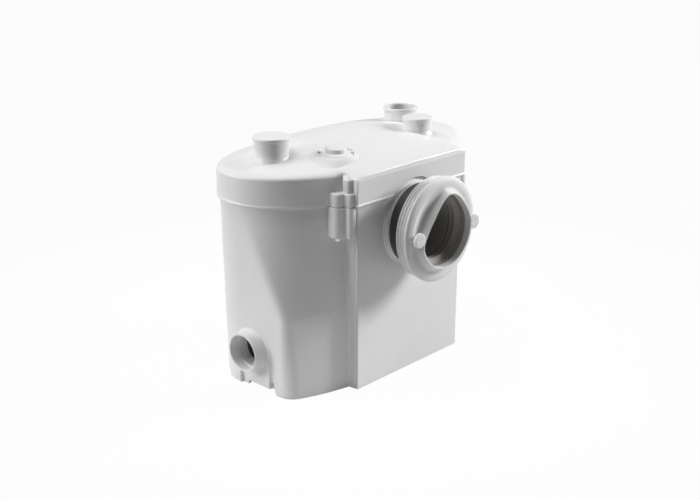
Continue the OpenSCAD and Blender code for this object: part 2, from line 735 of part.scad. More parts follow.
module discharge_socket() {
    rim = 4;
    color(white) translate([out_x, out_y, 0]) difference() {
        union() {
            translate([0, 0, valve_top]) cylinder(h = out_z - valve_top, r = out_r);
            translate([0, 0, out_z - rim - 2]) cylinder(h = 2, r1 = out_r, r2 = out_rim_r);
            translate([0, 0, out_z - rim]) cylinder(h = rim - 0.6, r = out_rim_r);
            translate([0, 0, out_z - 0.6]) cylinder(h = 0.6, r1 = out_rim_r, r2 = out_rim_r - 0.6);
        }
        translate([0, 0, valve_top + 8]) cylinder(h = 60, r = out_bore_r);
        translate([0, 0, valve_top - 1]) cylinder(h = 20, r = chamber_r);
    }
}

module discharge_seal() {
    seal_w = 3.5;
    seal_h = 5;
    top = dome_z(out_x + out_r + seal_w, out_y) - lid_wall - 0.5;
    color(black) translate([out_x, out_y, top - seal_h]) tube(seal_h, out_r + seal_w, out_r + fit / 2);
}

module discharge_pipe() {
    run = out_x - bend_r - pipe_start;
    bore = pipe_r - pipe_wall;
    color(grey) union() {
        translate([pipe_start, out_y, outlet_z]) rotate([0, 90, 0]) difference() {
            cylinder(h = run, r = pipe_r);
            translate([0, 0, -1]) cylinder(h = socket_l + 1, r = outlet_r + fit);
            translate([0, 0, -1]) cylinder(h = run + 2, r = bore - 1.2);
        }
        translate([out_x - bend_r, out_y, outlet_z + bend_r]) rotate([90, 0, 0])
            rotate([0, 0, -90]) rotate_extrude(angle = 90) translate([bend_r, 0]) difference() {
                circle(r = pipe_r);
                circle(r = bore - 1.2);
            }
        translate([out_x, out_y, outlet_z + bend_r]) tube(pipe_top - outlet_z - bend_r, pipe_r, bore - 1.2);
    }
}

module discharge_clips() {
    color(steel) {
        translate([pipe_start + 4, out_y, outlet_z]) rotate([0, 90, 0]) tube(8, pipe_r + 1, pipe_r + fit / 2);
        translate([out_x, out_y, valve_z + 3]) tube(8, valve_r + 1, valve_r + fit / 2);
    }
}

module check_valve_body() {
    color(grey) translate([out_x, out_y, 0]) difference() {
        union() {
            translate([0, 0, valve_z]) cylinder(h = valve_top - valve_z, r = valve_r);
            translate([0, 0, gear_z]) cylinder(h = 3, r = valve_r + 2);
        }
        translate([0, 0, valve_z - 1]) cylinder(h = pipe_top - valve_z + 1, r = pipe_r + fit);
        translate([0, 0, seat_z - 1]) cylinder(h = 10, r = 9.5);
        translate([0, 0, seat_z + seat_plate_t]) cylinder(h = 60, r = chamber_r);
        translate([flap_x - out_x, valve_pin_l / 2 + 0.5, flap_z]) rotate([90, 0, 0])
            cylinder(h = valve_pin_l + 1, r = valve_pin_r, $fn = 32);
    }
}

module check_valve_flap() {
    low = seat_z + seat_plate_t + gap;
    color(black) difference() {
        union() {
            translate([out_x, out_y, low]) cylinder(h = 2, r = flap_r);
            translate([flap_x, out_y + 6, flap_z]) rotate([90, 0, 0]) cylinder(h = 12, r = 2.3, $fn = 32);
            translate([flap_x, out_y - 4, low]) cube([6, 8, 2.6]);
        }
        translate([flap_x, out_y + 7, flap_z]) rotate([90, 0, 0]) cylinder(h = 14, r = valve_pin_r + 0.06, $fn = 32);
    }
}

module check_valve_pin() {
    color(steel) translate([flap_x, out_y + valve_pin_l / 2, flap_z]) rotate([90, 0, 0])
        cylinder(h = valve_pin_l, r = valve_pin_r, $fn = 32);
}

module side_valve_seat() {
    tail = 11;
    ear = 3.5;
    color(grey) difference() {
        union() {
            at_side(side_seat_x + 2.5) cylinder(h = 2.5, r = side_bore_r + 3.6);
            at_side(side_seat_x + 1) cylinder(h = tail, r = side_bore_r - fit);
            for (s = [-1, 1]) translate([side_seat_x, side_y + s * side_ear_at - ear / 2, side_hinge_z - 5])
                cube([side_hinge_x - side_seat_x + 3, ear, 8.5]);
        }
        at_side(side_seat_x + 4) cylinder(h = tail + 10, r = side_bore_r - 2.6);
        translate([side_hinge_x, side_y + 20, side_hinge_z]) rotate([90, 0, 0]) cylinder(h = 40, r = side_pin_r, $fn = 32);
    }
}

module side_valve_flap() {
    reach = side_hinge_z - side_z;
    color(black) difference() {
        union() {
            at_side(side_flap_x + 2) cylinder(h = 2, r = side_bore_r - 1);
            translate([side_hinge_x, side_y + 8, side_hinge_z]) rotate([90, 0, 0]) cylinder(h = 16, r = 3, $fn = 32);
            translate([side_flap_x, side_y - 6, side_z + 12]) cube([2.6, 12, reach - 12]);
        }
        translate([side_hinge_x, side_y + 9, side_hinge_z]) rotate([90, 0, 0]) cylinder(h = 18, r = side_pin_r + 0.06, $fn = 32);
    }
}

module side_valve_pin() {
    color(steel) translate([side_hinge_x, side_y + side_pin_l / 2, side_hinge_z]) rotate([90, 0, 0])
        cylinder(h = side_pin_l, r = side_pin_r, $fn = 32);
}

// Places a child on the motor's axis at the height z
module on_motor(z = 0) {
    translate([motor_x, motor_y, z]) children();
}

module pump_casing() {
    chamber_h = pump_h - pump_wall;
    color(grey) difference() {
        union() {
            on_motor(pump_z) cylinder(h = pump_h, r = pump_r);
            translate([motor_x, out_y, outlet_z]) rotate([0, 90, 0]) cylinder(h = outlet_end - motor_x, r = outlet_r);
        }
        on_motor(pump_z - 1) cylinder(h = chamber_h + 1, r = pump_r - pump_wall);
        on_motor(pump_z) cylinder(h = pump_h + 1, r = 3.4 * shaft_r);
        translate([motor_x, out_y, outlet_z]) rotate([0, 90, 0]) cylinder(h = outlet_end - motor_x + 1, r = outlet_r - 3);
    }
}

module pump_cover() {
    color(grey) on_motor(cover_z) tube(cover_t, basket_r + 0.2, shaft_r + gap);
}

module impeller() {
    low = pump_z + 2.5;
    high = pump_top - pump_wall - 4;
    color(black) on_motor(low) difference() {
        union() {
            cylinder(h = 2, r = impeller_r);
            cylinder(h = high - low, r = shaft_r + 4);
            for (k = [0:impeller_n - 1]) rotate(360 * k / impeller_n) translate([shaft_r + 2, 0, 1]) rotate(-28)
                cube([impeller_r - shaft_r - 5, 2, high - low - 1]);
        }
        translate([0, 0, -1]) cylinder(h = high, r = shaft_r + 0.02);
    }
}

module macerator_blade() {
    arm_t = 3;
    arm_w = 14;
    hub_top = cover_z - 0.6;
    color(steel) on_motor(blade_z) difference() {
        union() {
            intersection() {
                translate([-blade_r, -arm_w / 2, 0]) cube([2 * blade_r, arm_w, arm_t]);
                cylinder(h = arm_t, r = blade_r - 0.2);
            }
            intersection() {
                for (s = [-1, 1]) translate([s * (blade_r - 2) - 1.5, -arm_w / 2, 0]) cube([3, arm_w, 12]);
                cylinder(h = 12, r = blade_r - 0.2);
            }
            cylinder(h = hub_top - blade_z, r = shaft_r + 4);
        }
        translate([0, 0, -1]) cylinder(h = 40, r = shaft_r + 0.02);
    }
}

module blade_nut() {
    nut_h = 6;
    color(steel) on_motor(blade_z - nut_h) difference() {
        cylinder(h = nut_h, r = shaft_r + 3.5, $fn = 6);
        translate([0, 0, -1]) cylinder(h = nut_h + 2, r = shaft_r + 0.02);
    }
}

// Plan of the basket: two round ends joined by a straight stretch
basket_dx = basket_end_x - motor_x;
basket_dy = basket_end_y - motor_y;
basket_run = sqrt(basket_dx * basket_dx + basket_dy * basket_dy);
basket_turn = atan2(basket_dy, basket_dx);
module basket_shape(r, h) {
    cylinder(h = h, r = r);
    translate([basket_run, 0, 0]) cylinder(h = h, r = r);
    translate([0, -r + 0.15, 0]) cube([basket_run, 2 * r - 0.3, h]);
}
module cutting_basket() {
    h = cover_z - floor_top;
    slot = 3.6;
    slot_low = 7;
    slot_h = h - 15;
    straight_n = 7;
    color(steel) on_motor(floor_top) rotate(basket_turn) difference() {
        basket_shape(basket_r, h);
        translate([0, 0, basket_wall]) basket_shape(basket_r - basket_wall, h);
        for (k = [0.5:basket_slots]) rotate(90 + 180 * k / basket_slots)
            translate([basket_r - 6, -slot / 2, slot_low]) cube([12, slot, slot_h]);
        for (k = [0.5:basket_slots]) translate([basket_run, 0, 0]) rotate(-90 + 180 * k / basket_slots)
            translate([basket_r - 6, -slot / 2, slot_low]) cube([12, slot, slot_h]);
        for (k = [1:straight_n]) translate([basket_run * k / (straight_n + 1) - slot / 2, -basket_r - 1, slot_low])
            cube([slot, 2 * basket_r + 2, slot_h]);
    }
}

// Places a child at each ear by which the motor housing is screwed to the carrier plate
module on_ears(z) {
    on_motor(z) for (q = ear_angles) rotate(q) translate([ear_at, 0, 0]) children();
}

// Places a child at each screw of the motor cover
module on_cover_screws(z) {
    on_motor(z) for (k = [0:3]) rotate(45 + 90 * k) translate([cover_screw_at, 0, 0]) children();
}

module motor_housing() {
    hub_out = 14;
    seal_in = shaft_r + 6;
    spacer_r = 4;
    lug_low = can_top - 18;
    lug_top = can_top - cover_lip - fit;
    color(grey) difference() {
        union() {
            on_motor() rotate_extrude($fn = 96) polygon([
                [seal_in, can_z - hub_h], [hub_out, can_z - hub_h], [hub_out, can_z], [can_r, can_z],
                [can_r, gear_z], [can_r + flange_w, gear_z], [can_r + flange_w, gear_z + flange_t],
                [can_r, gear_z + flange_t], [can_r, can_top], [can_in, can_top], [can_in, bearing_z],
                [seat_r + seat_t, bearing_z], [seat_r + seat_t, bearing_z + bearing_w],
                [seat_r, bearing_z + bearing_w], [seat_r, bearing_z], [seal_in, bearing_z]
            ]);
            on_ears(gear_z) difference() {
                translate([-ear_r, -ear_r, 0]) cube([ear_r, 2 * ear_r, flange_t]);
                translate([-ear_at, 0, -1]) cylinder(h = flange_t + 2, r = can_in + 1, $fn = 96);
            }
            on_ears(gear_z) cylinder(h = flange_t, r = ear_r);
            for (k = [0:3]) on_motor(pump_top) rotate(45 + 90 * k) translate([pump_r - spacer_r - 1, 0, 0])
                cylinder(h = can_z - pump_top + 1, r = spacer_r);
            on_cover_screws(lug_low) cylinder(h = lug_top - lug_low, r = 4);
        }
        on_ears(gear_z - 1) cylinder(h = flange_t + 2, r = carry_screw_r + fit / 2, $fn = 32);
        on_cover_screws(lug_low + 2) cylinder(h = lug_top - lug_low, r = cover_screw_r + fit / 2, $fn = 32);
    }
}

module motor_cover() {
    rim = can_r + 2;
    top = can_top + cover_plate;
    low = can_top - cover_lip;
    color(grey) difference() {
        on_motor() rotate_extrude($fn = 96) polygon([
            [0, top], [0, low + 0.5], [seat_r, low + 0.5], [seat_r, upper_z - gap], [seat_r + seat_t, upper_z - gap],
            [seat_r + seat_t, low], [can_in - fit, low], [can_in - fit, can_top], [rim, can_top], [rim, top]
        ]);
        on_cover_screws(low - 1) cylinder(h = top - low + 2, r = cover_screw_r + fit / 2, $fn = 32);
    }
}

module motor_cover_screws() {
    top = can_top + cover_plate;
    shank = 15;
    color(steel) on_cover_screws(top) {
        translate([0, 0, -shank]) cylinder(h = shank, r = cover_screw_r, $fn = 32);
        cylinder(h = 2.2, r = 2 * cover_screw_r, $fn = 32);
    }
}

module slots_round(w, r0, r1, z0, z1) {
    for (k = [0:slot_n - 1]) rotate(360 * k / slot_n) translate([r0, -w / 2, z0]) cube([r1 - r0, w, z1 - z0]);
}

module stator_core() {
    color(steel) on_motor(core_z) difference() {
        cylinder(h = core_l, r = can_in - fit);
        translate([0, 0, -1]) cylinder(h = core_l + 2, r = rotor_r + 0.5);
        slots_round(slot_w, slot_r - 0.2, wind_r + 0.2, -1, core_l + 1);
    }
}

module stator_windings() {
    color(copper) on_motor(core_z) union() {
        translate([0, 0, -head_l]) tube(head_l - 0.2, wind_r, slot_r);
        translate([0, 0, core_l + 0.2]) tube(head_l - 0.2, wind_r, slot_r);
        slots_round(slot_w - 0.4, slot_r + 0.3, wind_r - 0.3, -2, core_l + 2);
    }
}

module rotor_core() {
    color(steel) on_motor(core_z) tube(core_l, rotor_r, shaft_r + 0.02);
}

module motor_shaft() {
    color(steel) on_motor() {
        translate([0, 0, shaft_low]) cylinder(h = shaft_top - shaft_low, r = shaft_r);
        translate([0, 0, bearing_z + bearing_w + 0.4]) cylinder(h = 2.6, r = shaft_r + 2);
    }
}

module lower_bearing() {
    color(steel) on_motor(bearing_z) tube(bearing_w, bearing_r, shaft_r + 0.05);
}

module upper_bearing() {
    color(steel) on_motor(upper_z) tube(bearing_w, bearing_r, shaft_r + 0.05);
}

module shaft_seal() {
    color(black) on_motor(can_z - hub_h + 0.2) tube(hub_h + can_floor - 0.2, shaft_r + 6 - fit / 2, shaft_r + 0.05);
}

module carrier_plate() {
    front = -14;
    wing_front = left_y - 42;
    wing_x = motor_x + 15;
    edge = tank_wall + 0.8;
    drop_r = left_r - stub_wall + 1;
    color(grey) translate([0, 0, plate_z]) difference() {
        linear_extrude(plate_t) intersection() {
            polygon([for (p = tank_ring(seam_z, edge)) [p[0], p[1]]]);
            union() {
                translate([-2 * tank_a, front]) square([4 * tank_a, 2 * tank_b]);
                translate([-2 * tank_a, wing_front]) square([2 * tank_a + wing_x, 2 * tank_b]);
            }
        }
        translate([motor_x, motor_y, -1]) cylinder(h = 10, r = can_r + gap);
        translate([left_x, left_y, -1]) cylinder(h = 10, r = drop_r);
        translate([out_x, out_y, -1]) cylinder(h = 10, r = valve_r + gap);
        translate([dip_x, dip_y, -1]) cylinder(h = 10, r = dip_r + fit);
        for (x = carry_xs) translate([x, carry_y(x), -1]) cylinder(h = 10, r = carry_screw_r + fit / 2, $fn = 32);
        translate([0, 0, -plate_z]) on_ears(plate_z - 1) cylinder(h = 10, r = carry_screw_r + fit / 2, $fn = 32);
    }
}

module pan_screw(length) {
    translate([0, 0, -length]) cylinder(h = length, r = carry_screw_r, $fn = 32);
    cylinder(h = 2.4, r = 2 * carry_screw_r, $fn = 32);
}
module carrier_screws() {
    color(steel) {
        for (x = carry_xs) translate([x, carry_y(x), gear_z]) pan_screw(plate_t + 20);
        on_ears(gear_z + flange_t) pan_screw(flange_t + plate_t + 4);
    }
}

module control_box() {
    color(off_white) difference() {
        translate([gear_x0, gear_y0, gear_z]) cube([gear_w, gear_d, gear_h]);
        translate([gear_x0 + gear_wall, gear_y0 + gear_wall, gear_floor])
            cube([gear_w - 2 * gear_wall, gear_d - 2 * gear_wall, gear_h]);
        translate([dip_x, dip_y, gear_z - 1]) cylinder(h = 5, r = dip_r - 4);
    }
}

module control_box_cover() {
    color(off_white) translate([gear_x0, gear_y0, gear_z + gear_h]) cube([gear_w, gear_d, 2]);
}

module capacitor() {
    cell_r = 12.6;
    cell_l = 32;
    in = 44;
    color(off_white) translate([gear_x0 + in, dip_y, gear_floor + cell_r]) rotate([0, 90, 0]) cylinder(h = cell_l, r = cell_r);
}

module terminal_block() {
    color(off_white) translate([gear_x0 + gear_w - gear_wall - 18, dip_y - 12, gear_floor]) difference() {
        cube([14, 24, 12]);
        for (k = [0:2]) translate([7, 4 + 8 * k, 5]) cylinder(h = 8, r = 2.2, $fn = 32);
    }
}

module micro_switch() {
    half = 14;
    color(black) translate([dip_x, dip_y, 0]) difference() {
        union() {
            translate([-half, -5, switch_z]) cube([2 * half, 10, 10]);
            for (s = [-1, 1]) translate([s * (half - 1) - 1, -5, gear_floor]) cube([2, 10, switch_z - gear_floor + 1]);
        }
        translate([0, 0, switch_z - 1]) cylinder(h = 7.5, r = plunger_r + 0.05, $fn = 32);
    }
}

module switch_plunger() {
    color(white) translate([dip_x, dip_y, plunger_z]) {
        cylinder(h = 1.5, r = 6);
        cylinder(h = switch_z + 3 - plunger_z, r = plunger_r, $fn = 32);
    }
}

module switch_membrane() {
    color(black) translate([dip_x, dip_y, gear_floor]) cylinder(h = membrane_t, r = dip_r - 1.5);
}

module dip_tube() {
    color(grey) translate([dip_x, dip_y, 0]) difference() {
        union() {
            translate([0, 0, dip_low]) cylinder(h = gear_z - dip_low, r = dip_r);
            translate([0, 0, plate_z - 3]) cylinder(h = 3, r = dip_r + 3);
        }
        translate([0, 0, dip_low - 1]) cylinder(h = gear_z, r = dip_r - 2);
    }
}

module cable_gland() {
    color(black) translate([gland_x, gland_in - 7, gland_z]) rotate([-90, 0, 0]) difference() {
        union() {
            cylinder(h = gland_y - gland_in + 7, r = gland_r);
            translate([0, 0, gland_y - gland_in + 7]) cylinder(h = 5, r = gland_r + 3.5, $fn = 6);
            translate([0, 0, gland_y - gland_in + 12]) cylinder(h = 6, r1 = gland_r + 1.5, r2 = gland_r);
        }
        translate([0, 0, -1]) cylinder(h = 40, r = cable_r);
    }
}

module gland_nut() {
    color(black) translate([gland_x, gland_in - 5, gland_z]) rotate([-90, 0, 0]) difference() {
        cylinder(h = 5, r = gland_r + 3, $fn = 6);
        translate([0, 0, -1]) cylinder(h = 7, r = gland_r + 0.02);
    }
}

tank();
lid();
lid_gasket();
lid_screws();
foot_pads();
wc_connector();
wc_clip_band();
wc_clip_screw();
left_inlet_cap();
right_inlet_cap();
vent_cap();
vent_filter();
discharge_socket();
discharge_seal();
discharge_pipe();
discharge_clips();
check_valve_body();
check_valve_flap();
check_valve_pin();
side_valve_seat();
side_valve_flap();
side_valve_pin();
pump_casing();
pump_cover();
impeller();
macerator_blade();
blade_nut();
cutting_basket();
motor_housing();
motor_cover();
motor_cover_screws();
stator_core();
stator_windings();
rotor_core();
motor_shaft();
lower_bearing();
upper_bearing();
shaft_seal();
carrier_plate();
carrier_screws();
control_box();
control_box_cover();
capacitor();
terminal_block();
micro_switch();
switch_plunger();
switch_membrane();
dip_tube();
cable_gland();
gland_nut();
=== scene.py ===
import json
import math

import bpy
import numpy as np
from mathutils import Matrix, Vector

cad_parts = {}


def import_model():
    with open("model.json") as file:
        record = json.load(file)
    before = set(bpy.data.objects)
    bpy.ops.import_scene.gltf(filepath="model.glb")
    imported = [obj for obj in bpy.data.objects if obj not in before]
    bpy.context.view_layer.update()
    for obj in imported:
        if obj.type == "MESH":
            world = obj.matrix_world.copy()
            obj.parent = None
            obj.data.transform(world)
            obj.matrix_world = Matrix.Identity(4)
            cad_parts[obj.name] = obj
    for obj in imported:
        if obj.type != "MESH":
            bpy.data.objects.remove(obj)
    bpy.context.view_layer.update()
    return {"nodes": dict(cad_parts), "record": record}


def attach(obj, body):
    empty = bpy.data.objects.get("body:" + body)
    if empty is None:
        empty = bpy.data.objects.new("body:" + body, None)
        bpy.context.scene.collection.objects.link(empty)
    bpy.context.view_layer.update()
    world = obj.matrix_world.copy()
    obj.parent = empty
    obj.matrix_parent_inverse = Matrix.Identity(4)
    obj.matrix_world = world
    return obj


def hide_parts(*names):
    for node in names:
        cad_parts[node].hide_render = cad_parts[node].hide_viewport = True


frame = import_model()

MM = 0.001

# ---------------------------------------------------------------------------
# Sizes in millimetres, in the part's frame: X to the right, Y to the back, Z up from the ground
# ---------------------------------------------------------------------------
# Plan of tank and lid: an oval round a centre, and a box that stands out in front of it.
# The oval is a superellipse with one power before its centre and another behind it.
OVAL_Y = 10.0
OVAL_N, REAR_N = 2.1, 2.4
FACE = -95.0
BOX_HALF = 90.0

# Tank: half length and reaches at the seam, and how far each moves on the way down to the ground
TANK_HALF, HALF_DRAFT = 172.0, 9.0
TANK_FRONT, FRONT_FLARE = 97.0, 4.0
TANK_BACK, BACK_FLARE = 83.0, 3.0
REAR_SWELL = 0.2
FLARE_SWEEP, FLARE_FULL = 68.0, 95.0
SEAM = 217.0
FLOOR, FLOOR_TOP = 8.0, 11.0

# Lid: oval and box at the skirt, then the rounded shoulder above the crease, and the dome above that
LID_HALF, LID_FRONT, LID_BACK = 175.0, 100.0, 86.0
LID_BOX_HALF, LID_BOX_FRONT = 93.0, OVAL_Y + 98.0
LID_WALL = 2.6
CREASE = 247.0
SHOULDER_W, SHOULDER_H = 20.0, 8.0
SHOULDER_END = math.radians(65.0)
SHOULDER_TOP = CREASE + SHOULDER_H * math.sin(SHOULDER_END)
SHOULDER_IN = SHOULDER_W * (1.0 - math.cos(SHOULDER_END))
DOME_A, DOME_F, DOME_B = LID_HALF - SHOULDER_IN, LID_FRONT - SHOULDER_IN, LID_BACK - SHOULDER_IN
DOME_H = 17.75
ROOF, ROOF_SLOPE = 251.2, 3.1

# Screw bosses on the right: centres of the front lobe and rib, the rear lobe's Y, and the bosses' ends
LOBE = (103.0, -78.0)
RIB = (95.5, -89.5)
REAR_LOBE_Y = 89.49
BOSS_LOW, BOSS_TOP = 182.0, 232.0

# Fittings: axes of both inlets, top stubs as (x, y, top, radius), centres of vent, discharge and gland
INLET_Z = 180.0
SIDE_Y, SIDE_Z = -3.0, 47.0
LEFT = (-123.0, 2.0, 281.0, 18.5)
RIGHT = (79.0, -35.0, 278.0, 16.6)
VENT = (-69.0, -43.0)
OUT = (103.0, 12.0)
GLAND = (40.0, 0.0, 241.0)
GLAND_BORE = 6.6

# Edges that turn by more than this stay sharp
SHARP = math.radians(38.0)


def dome_height(x, y):
    """Height of the lid's dome at one place: a paraboloid over the oval, highest on the oval's centre."""
    reach = DOME_F if y < OVAL_Y else DOME_B
    return SHOULDER_TOP + DOME_H * (1.0 - (x / DOME_A) ** 2 - ((y - OVAL_Y) / reach) ** 2)


def dome_grid(x, y):
    """Height of the lid's skin at arrays of places: rings of the superellipse rise as 1 - k^2."""
    behind = y > OVAL_Y
    reach = np.where(behind, DOME_B, DOME_F)
    power = np.where(behind, REAR_N, OVAL_N)
    k2 = ((np.abs(x) / DOME_A) ** power + (np.abs(y - OVAL_Y) / reach) ** power) ** (2.0 / power)
    return SHOULDER_TOP + DOME_H * (1.0 - k2)


# Underside of the vent cap's flange
VENT_LOW = dome_height(*VENT) - 0.5


# ---------------------------------------------------------------------------
# Shape tools: every shape is worked out as whole arrays
# ---------------------------------------------------------------------------
def ease(t):
    """Smooth step: 0 below 0, 1 above 1, and 3t^2 - 2t^3 between."""
    t = np.clip(t, 0.0, 1.0)
    return t * t * (3.0 - 2.0 * t)


def window(t, low, high, soft):
    """1 between low and high, 0 outside, with a smooth ramp of width soft centred on each end."""
    return ease((t - low) / soft + 0.5) * ease((high - t) / soft + 0.5)


def soft_less(p, q, k):
    """The smaller of p and q, with a parabola where they differ by less than k."""
    return np.minimum(p, q) - np.maximum(k - np.abs(p - q), 0.0) ** 2 / (4.0 * k)


def soft_more(p, q, k):
    """The larger of p and q, with a parabola where they differ by less than k."""
    return np.maximum(p, q) + np.maximum(k - np.abs(p - q), 0.0) ** 2 / (4.0 * k)


def full_turn(cols):
    """A row of even angles once round."""
    return np.linspace(0.0, 2 * np.pi, cols, endpoint=False)[None, :]


def as_grid(x, y, z):
    """A grid's points from its three coordinates, each an array or a number that spreads over the others."""
    return np.stack(np.broadcast_arrays(x, y, z), -1)


def rounded(outline, radius, steps=4):
    """A closed outline whose every corner becomes a parabola.

    The parabola's ends lie the radius away from the corner, or 0.45 of the edge where that is less."""
    p = np.asarray(outline, float)
    r = np.broadcast_to(np.asarray(radius, float), (len(p),))
    back, ahead = np.roll(p, 1, 0) - p, np.roll(p, -1, 0) - p
    nb, na = np.linalg.norm(back, axis=1), np.linalg.norm(ahead, axis=1)
    db, da = np.minimum(r, 0.45 * nb), np.minimum(r, 0.45 * na)
    a = p + back * (db / nb)[:, None]
    b = p + ahead * (da / na)[:, None]
    t = np.linspace(0.0, 1.0, steps + 1)[None, :, None]
    bend = (1 - t) ** 2 * a[:, None] + 2 * t * (1 - t) * p[:, None] + t * t * b[:, None]
    return bend.reshape(-1, p.shape[1])


def grid_quads(rows, cols, ring):
    """Quads between neighbouring rows of a grid. Columns always close, and rows close too with ring."""
    i = np.arange(rows if ring else rows - 1)[:, None]
    j = np.arange(cols)[None, :]
    k, n = (j + 1) % cols, (i + 1) % rows
    corners = np.broadcast_arrays(i * cols + j, i * cols + k, n * cols + k, n * cols + j)
    return np.stack(corners, -1).reshape(-1, 4)


def signed_volume(points, faces):
    """Six times the volume: tetrahedra between the origin and each face's fan of triangles, added up."""
    total = 0.0
    for f in faces:
        for s in range(1, f.shape[1] - 1):
            a, b, c = points[f[:, 0]], points[f[:, s]], points[f[:, s + 1]]
            total += float(np.einsum("ij,ij->i", a, np.cross(b, c)).sum())
    return total


def make_piece(name, points, faces, body, slot):
    """One object at the origin from points in millimetres, turned so that its faces point outwards.

    The painted shade skin inside the connector has a finish of its own."""
    points = np.asarray(points, float).reshape(-1, 3)
    if signed_volume(points - points.mean(0), faces) < 0:
        faces = [f[:, ::-1] for f in faces]
    loops = np.concatenate([f.ravel() for f in faces])
    sizes = np.concatenate([np.full(len(f), f.shape[1]) for f in faces])
    mesh = bpy.data.meshes.new(name)
    mesh.vertices.add(len(points))
    mesh.vertices.foreach_set("co", (points * MM).ravel())
    mesh.loops.add(len(loops))
    mesh.loops.foreach_set("vertex_index", loops.astype(np.int32))
    mesh.polygons.add(len(sizes))
    mesh.polygons.foreach_set("loop_start", (np.cumsum(sizes) - sizes).astype(np.int32))
    mesh.polygons.foreach_set("use_smooth", np.ones(len(sizes), bool))
    mesh.update(calc_edges=True)
    mesh.validate()
    mesh.set_sharp_from_angle(angle=SHARP)
    piece = bpy.data.objects.new(name, mesh)
    bpy.context.scene.collection.objects.link(piece)
    piece.data.materials.append(FINISH[slot])
    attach(piece, body)
    return piece


def shell(name, grid, body="unit", slot="white_plastic", ring=True):
    """A closed skin over a grid's rows and columns. With ring the rows close too, else each end gets a pole."""
    grid = np.asarray(grid, float)
    rows, cols = grid.shape[:2]
    points = grid.reshape(-1, 3)
    faces = [grid_quads(rows, cols, ring)]
    if not ring:
        j = np.arange(cols)
        k = (j + 1) % cols
        first_pole = rows * cols
        end_row = (rows - 1) * cols
        points = np.concatenate([points, grid[0].mean(0)[None], grid[-1].mean(0)[None]])
        faces.append(np.stack([np.full(cols, first_pole), k, j], -1))
        faces.append(np.stack([np.full(cols, first_pole + 1), end_row + j, end_row + k], -1))
    return make_piece(name, points, faces, body, slot)


def turned_up(profile, x, y, cols=112):
    """Grid of a profile of (radius, height) turned round the upright axis through x, y."""
    t = full_turn(cols)
    r, h = np.asarray(profile, float).T[:, :, None]
    return as_grid(x + r * np.cos(t), y + r * np.sin(t), h)


def turned_inlet(profile, cols=160):
    """Grid of a profile of (radius, distance before the tank's face) turned round the toilet inlet's axis."""
    t = full_turn(cols)
    r, h = np.asarray(profile, float).T[:, :, None]
    return as_grid(r * np.cos(t), FACE - h, INLET_Z + r * np.sin(t))


def turned_side(profile, cols=128):
    """Grid of a profile of (radius, distance left of the base centre) turned round the side inlet's axis."""
    t = full_turn(cols)
    r, h = np.asarray(profile, float).T[:, :, None]
    return as_grid(-h, SIDE_Y + r * np.cos(t), SIDE_Z + r * np.sin(t))


def turned_back(profile, cols):
    """Grid of a profile of (radius, Y) turned round the cable gland's axis."""
    return turned_up(profile, 0.0, 0.0, cols)[..., [0, 2, 1]] + np.array(GLAND)


def bar(low, high, soft, cols=48):
    """Grid of an upright block with rounded edges: a superellipse of power 8 in plan.

    A quarter round of radius soft draws it in at both ends."""
    low, high = np.array(low, float), np.array(high, float)
    mid, half = (low + high) / 2, (high - low) / 2
    q = np.radians([90, 60, 30, 0])
    rise = np.concatenate([soft * (1 - np.sin(q)), 2 * half[2] - soft * (1 - np.sin(q[::-1]))])
    inset = np.concatenate([soft * (1 - np.cos(q)), soft * (1 - np.cos(q[::-1]))])[:, None]
    t = (np.arange(cols) + 0.5)[None, :] * 2 * np.pi / cols
    c, s = np.cos(t), np.sin(t)
    size = (np.abs(c) ** 8 + np.abs(s) ** 8) ** (-1 / 8)
    x = mid[0] + (half[0] - inset) * c * size
    y = mid[1] + (half[1] - inset) * s * size
    return as_grid(x, y, low[2] + rise[:, None])


def cutter(name, grid):
    """A throwaway closed solid that cuts an opening."""
    return shell(name, grid, ring=False)


def rod(x, y, z0, z1, r):
    """Grid of an upright rod from z0 to z1, for a round hole."""
    return turned_up([(r, z0), (r, z1)], x, y, 96)


def cut_away(piece, cutters):
    """Cuts each cutter out of the piece, keeps the result in its mesh, and throws the cutters away."""
    for c in cutters:
        m = piece.modifiers.new("opening", "BOOLEAN")
        m.operation = "DIFFERENCE"
        m.solver = "EXACT"
        m.object = c
    bpy.context.view_layer.update()
    graph = bpy.context.evaluated_depsgraph_get()
    cut = bpy.data.meshes.new_from_object(piece.evaluated_get(graph))
    piece.modifiers.clear()
    old = piece.data
    name = old.name
    piece.data = cut
    bpy.data.meshes.remove(old)
    cut.name = name
    cut.materials.clear()
    cut.materials.append(FINISH["white_plastic"])
    cut.polygons.foreach_set("material_index", np.zeros(len(cut.polygons), np.int32))
    cut.polygons.foreach_set("use_smooth", np.ones(len(cut.polygons), bool))
    cut.set_sharp_from_angle(angle=SHARP)
    for c in cutters:
        bpy.data.objects.remove(c)


# ---------------------------------------------------------------------------
# Finishes
# ---------------------------------------------------------------------------
def new_group(name, inputs, outputs):
    """A shader node group with the named number inputs and the named outputs."""
    group = bpy.data.node_groups.new(name, "ShaderNodeTree")
    for label, value in inputs:
        group.interface.new_socket(label, in_out="INPUT", socket_type="NodeSocketFloat").default_value = value
    for label in outputs:
        group.interface.new_socket(label, in_out="OUTPUT", socket_type="NodeSocketFloat")
    return group, group.nodes.new("NodeGroupInput"), group.nodes.new("NodeGroupOutput")


def maths(tree, operation, a, b=0.5, c=0.5, clamp=False):
    """A math node whose inputs are sockets or numbers."""
    node = tree.nodes.new("ShaderNodeMath")
    node.operation = operation
    node.use_clamp = clamp
    for socket, value in zip(node.inputs, (a, b, c)):
        if isinstance(value, bpy.types.NodeSocket):
            tree.links.new(value, socket)
        else:
            socket.default_value = value
    return node.outputs[0]


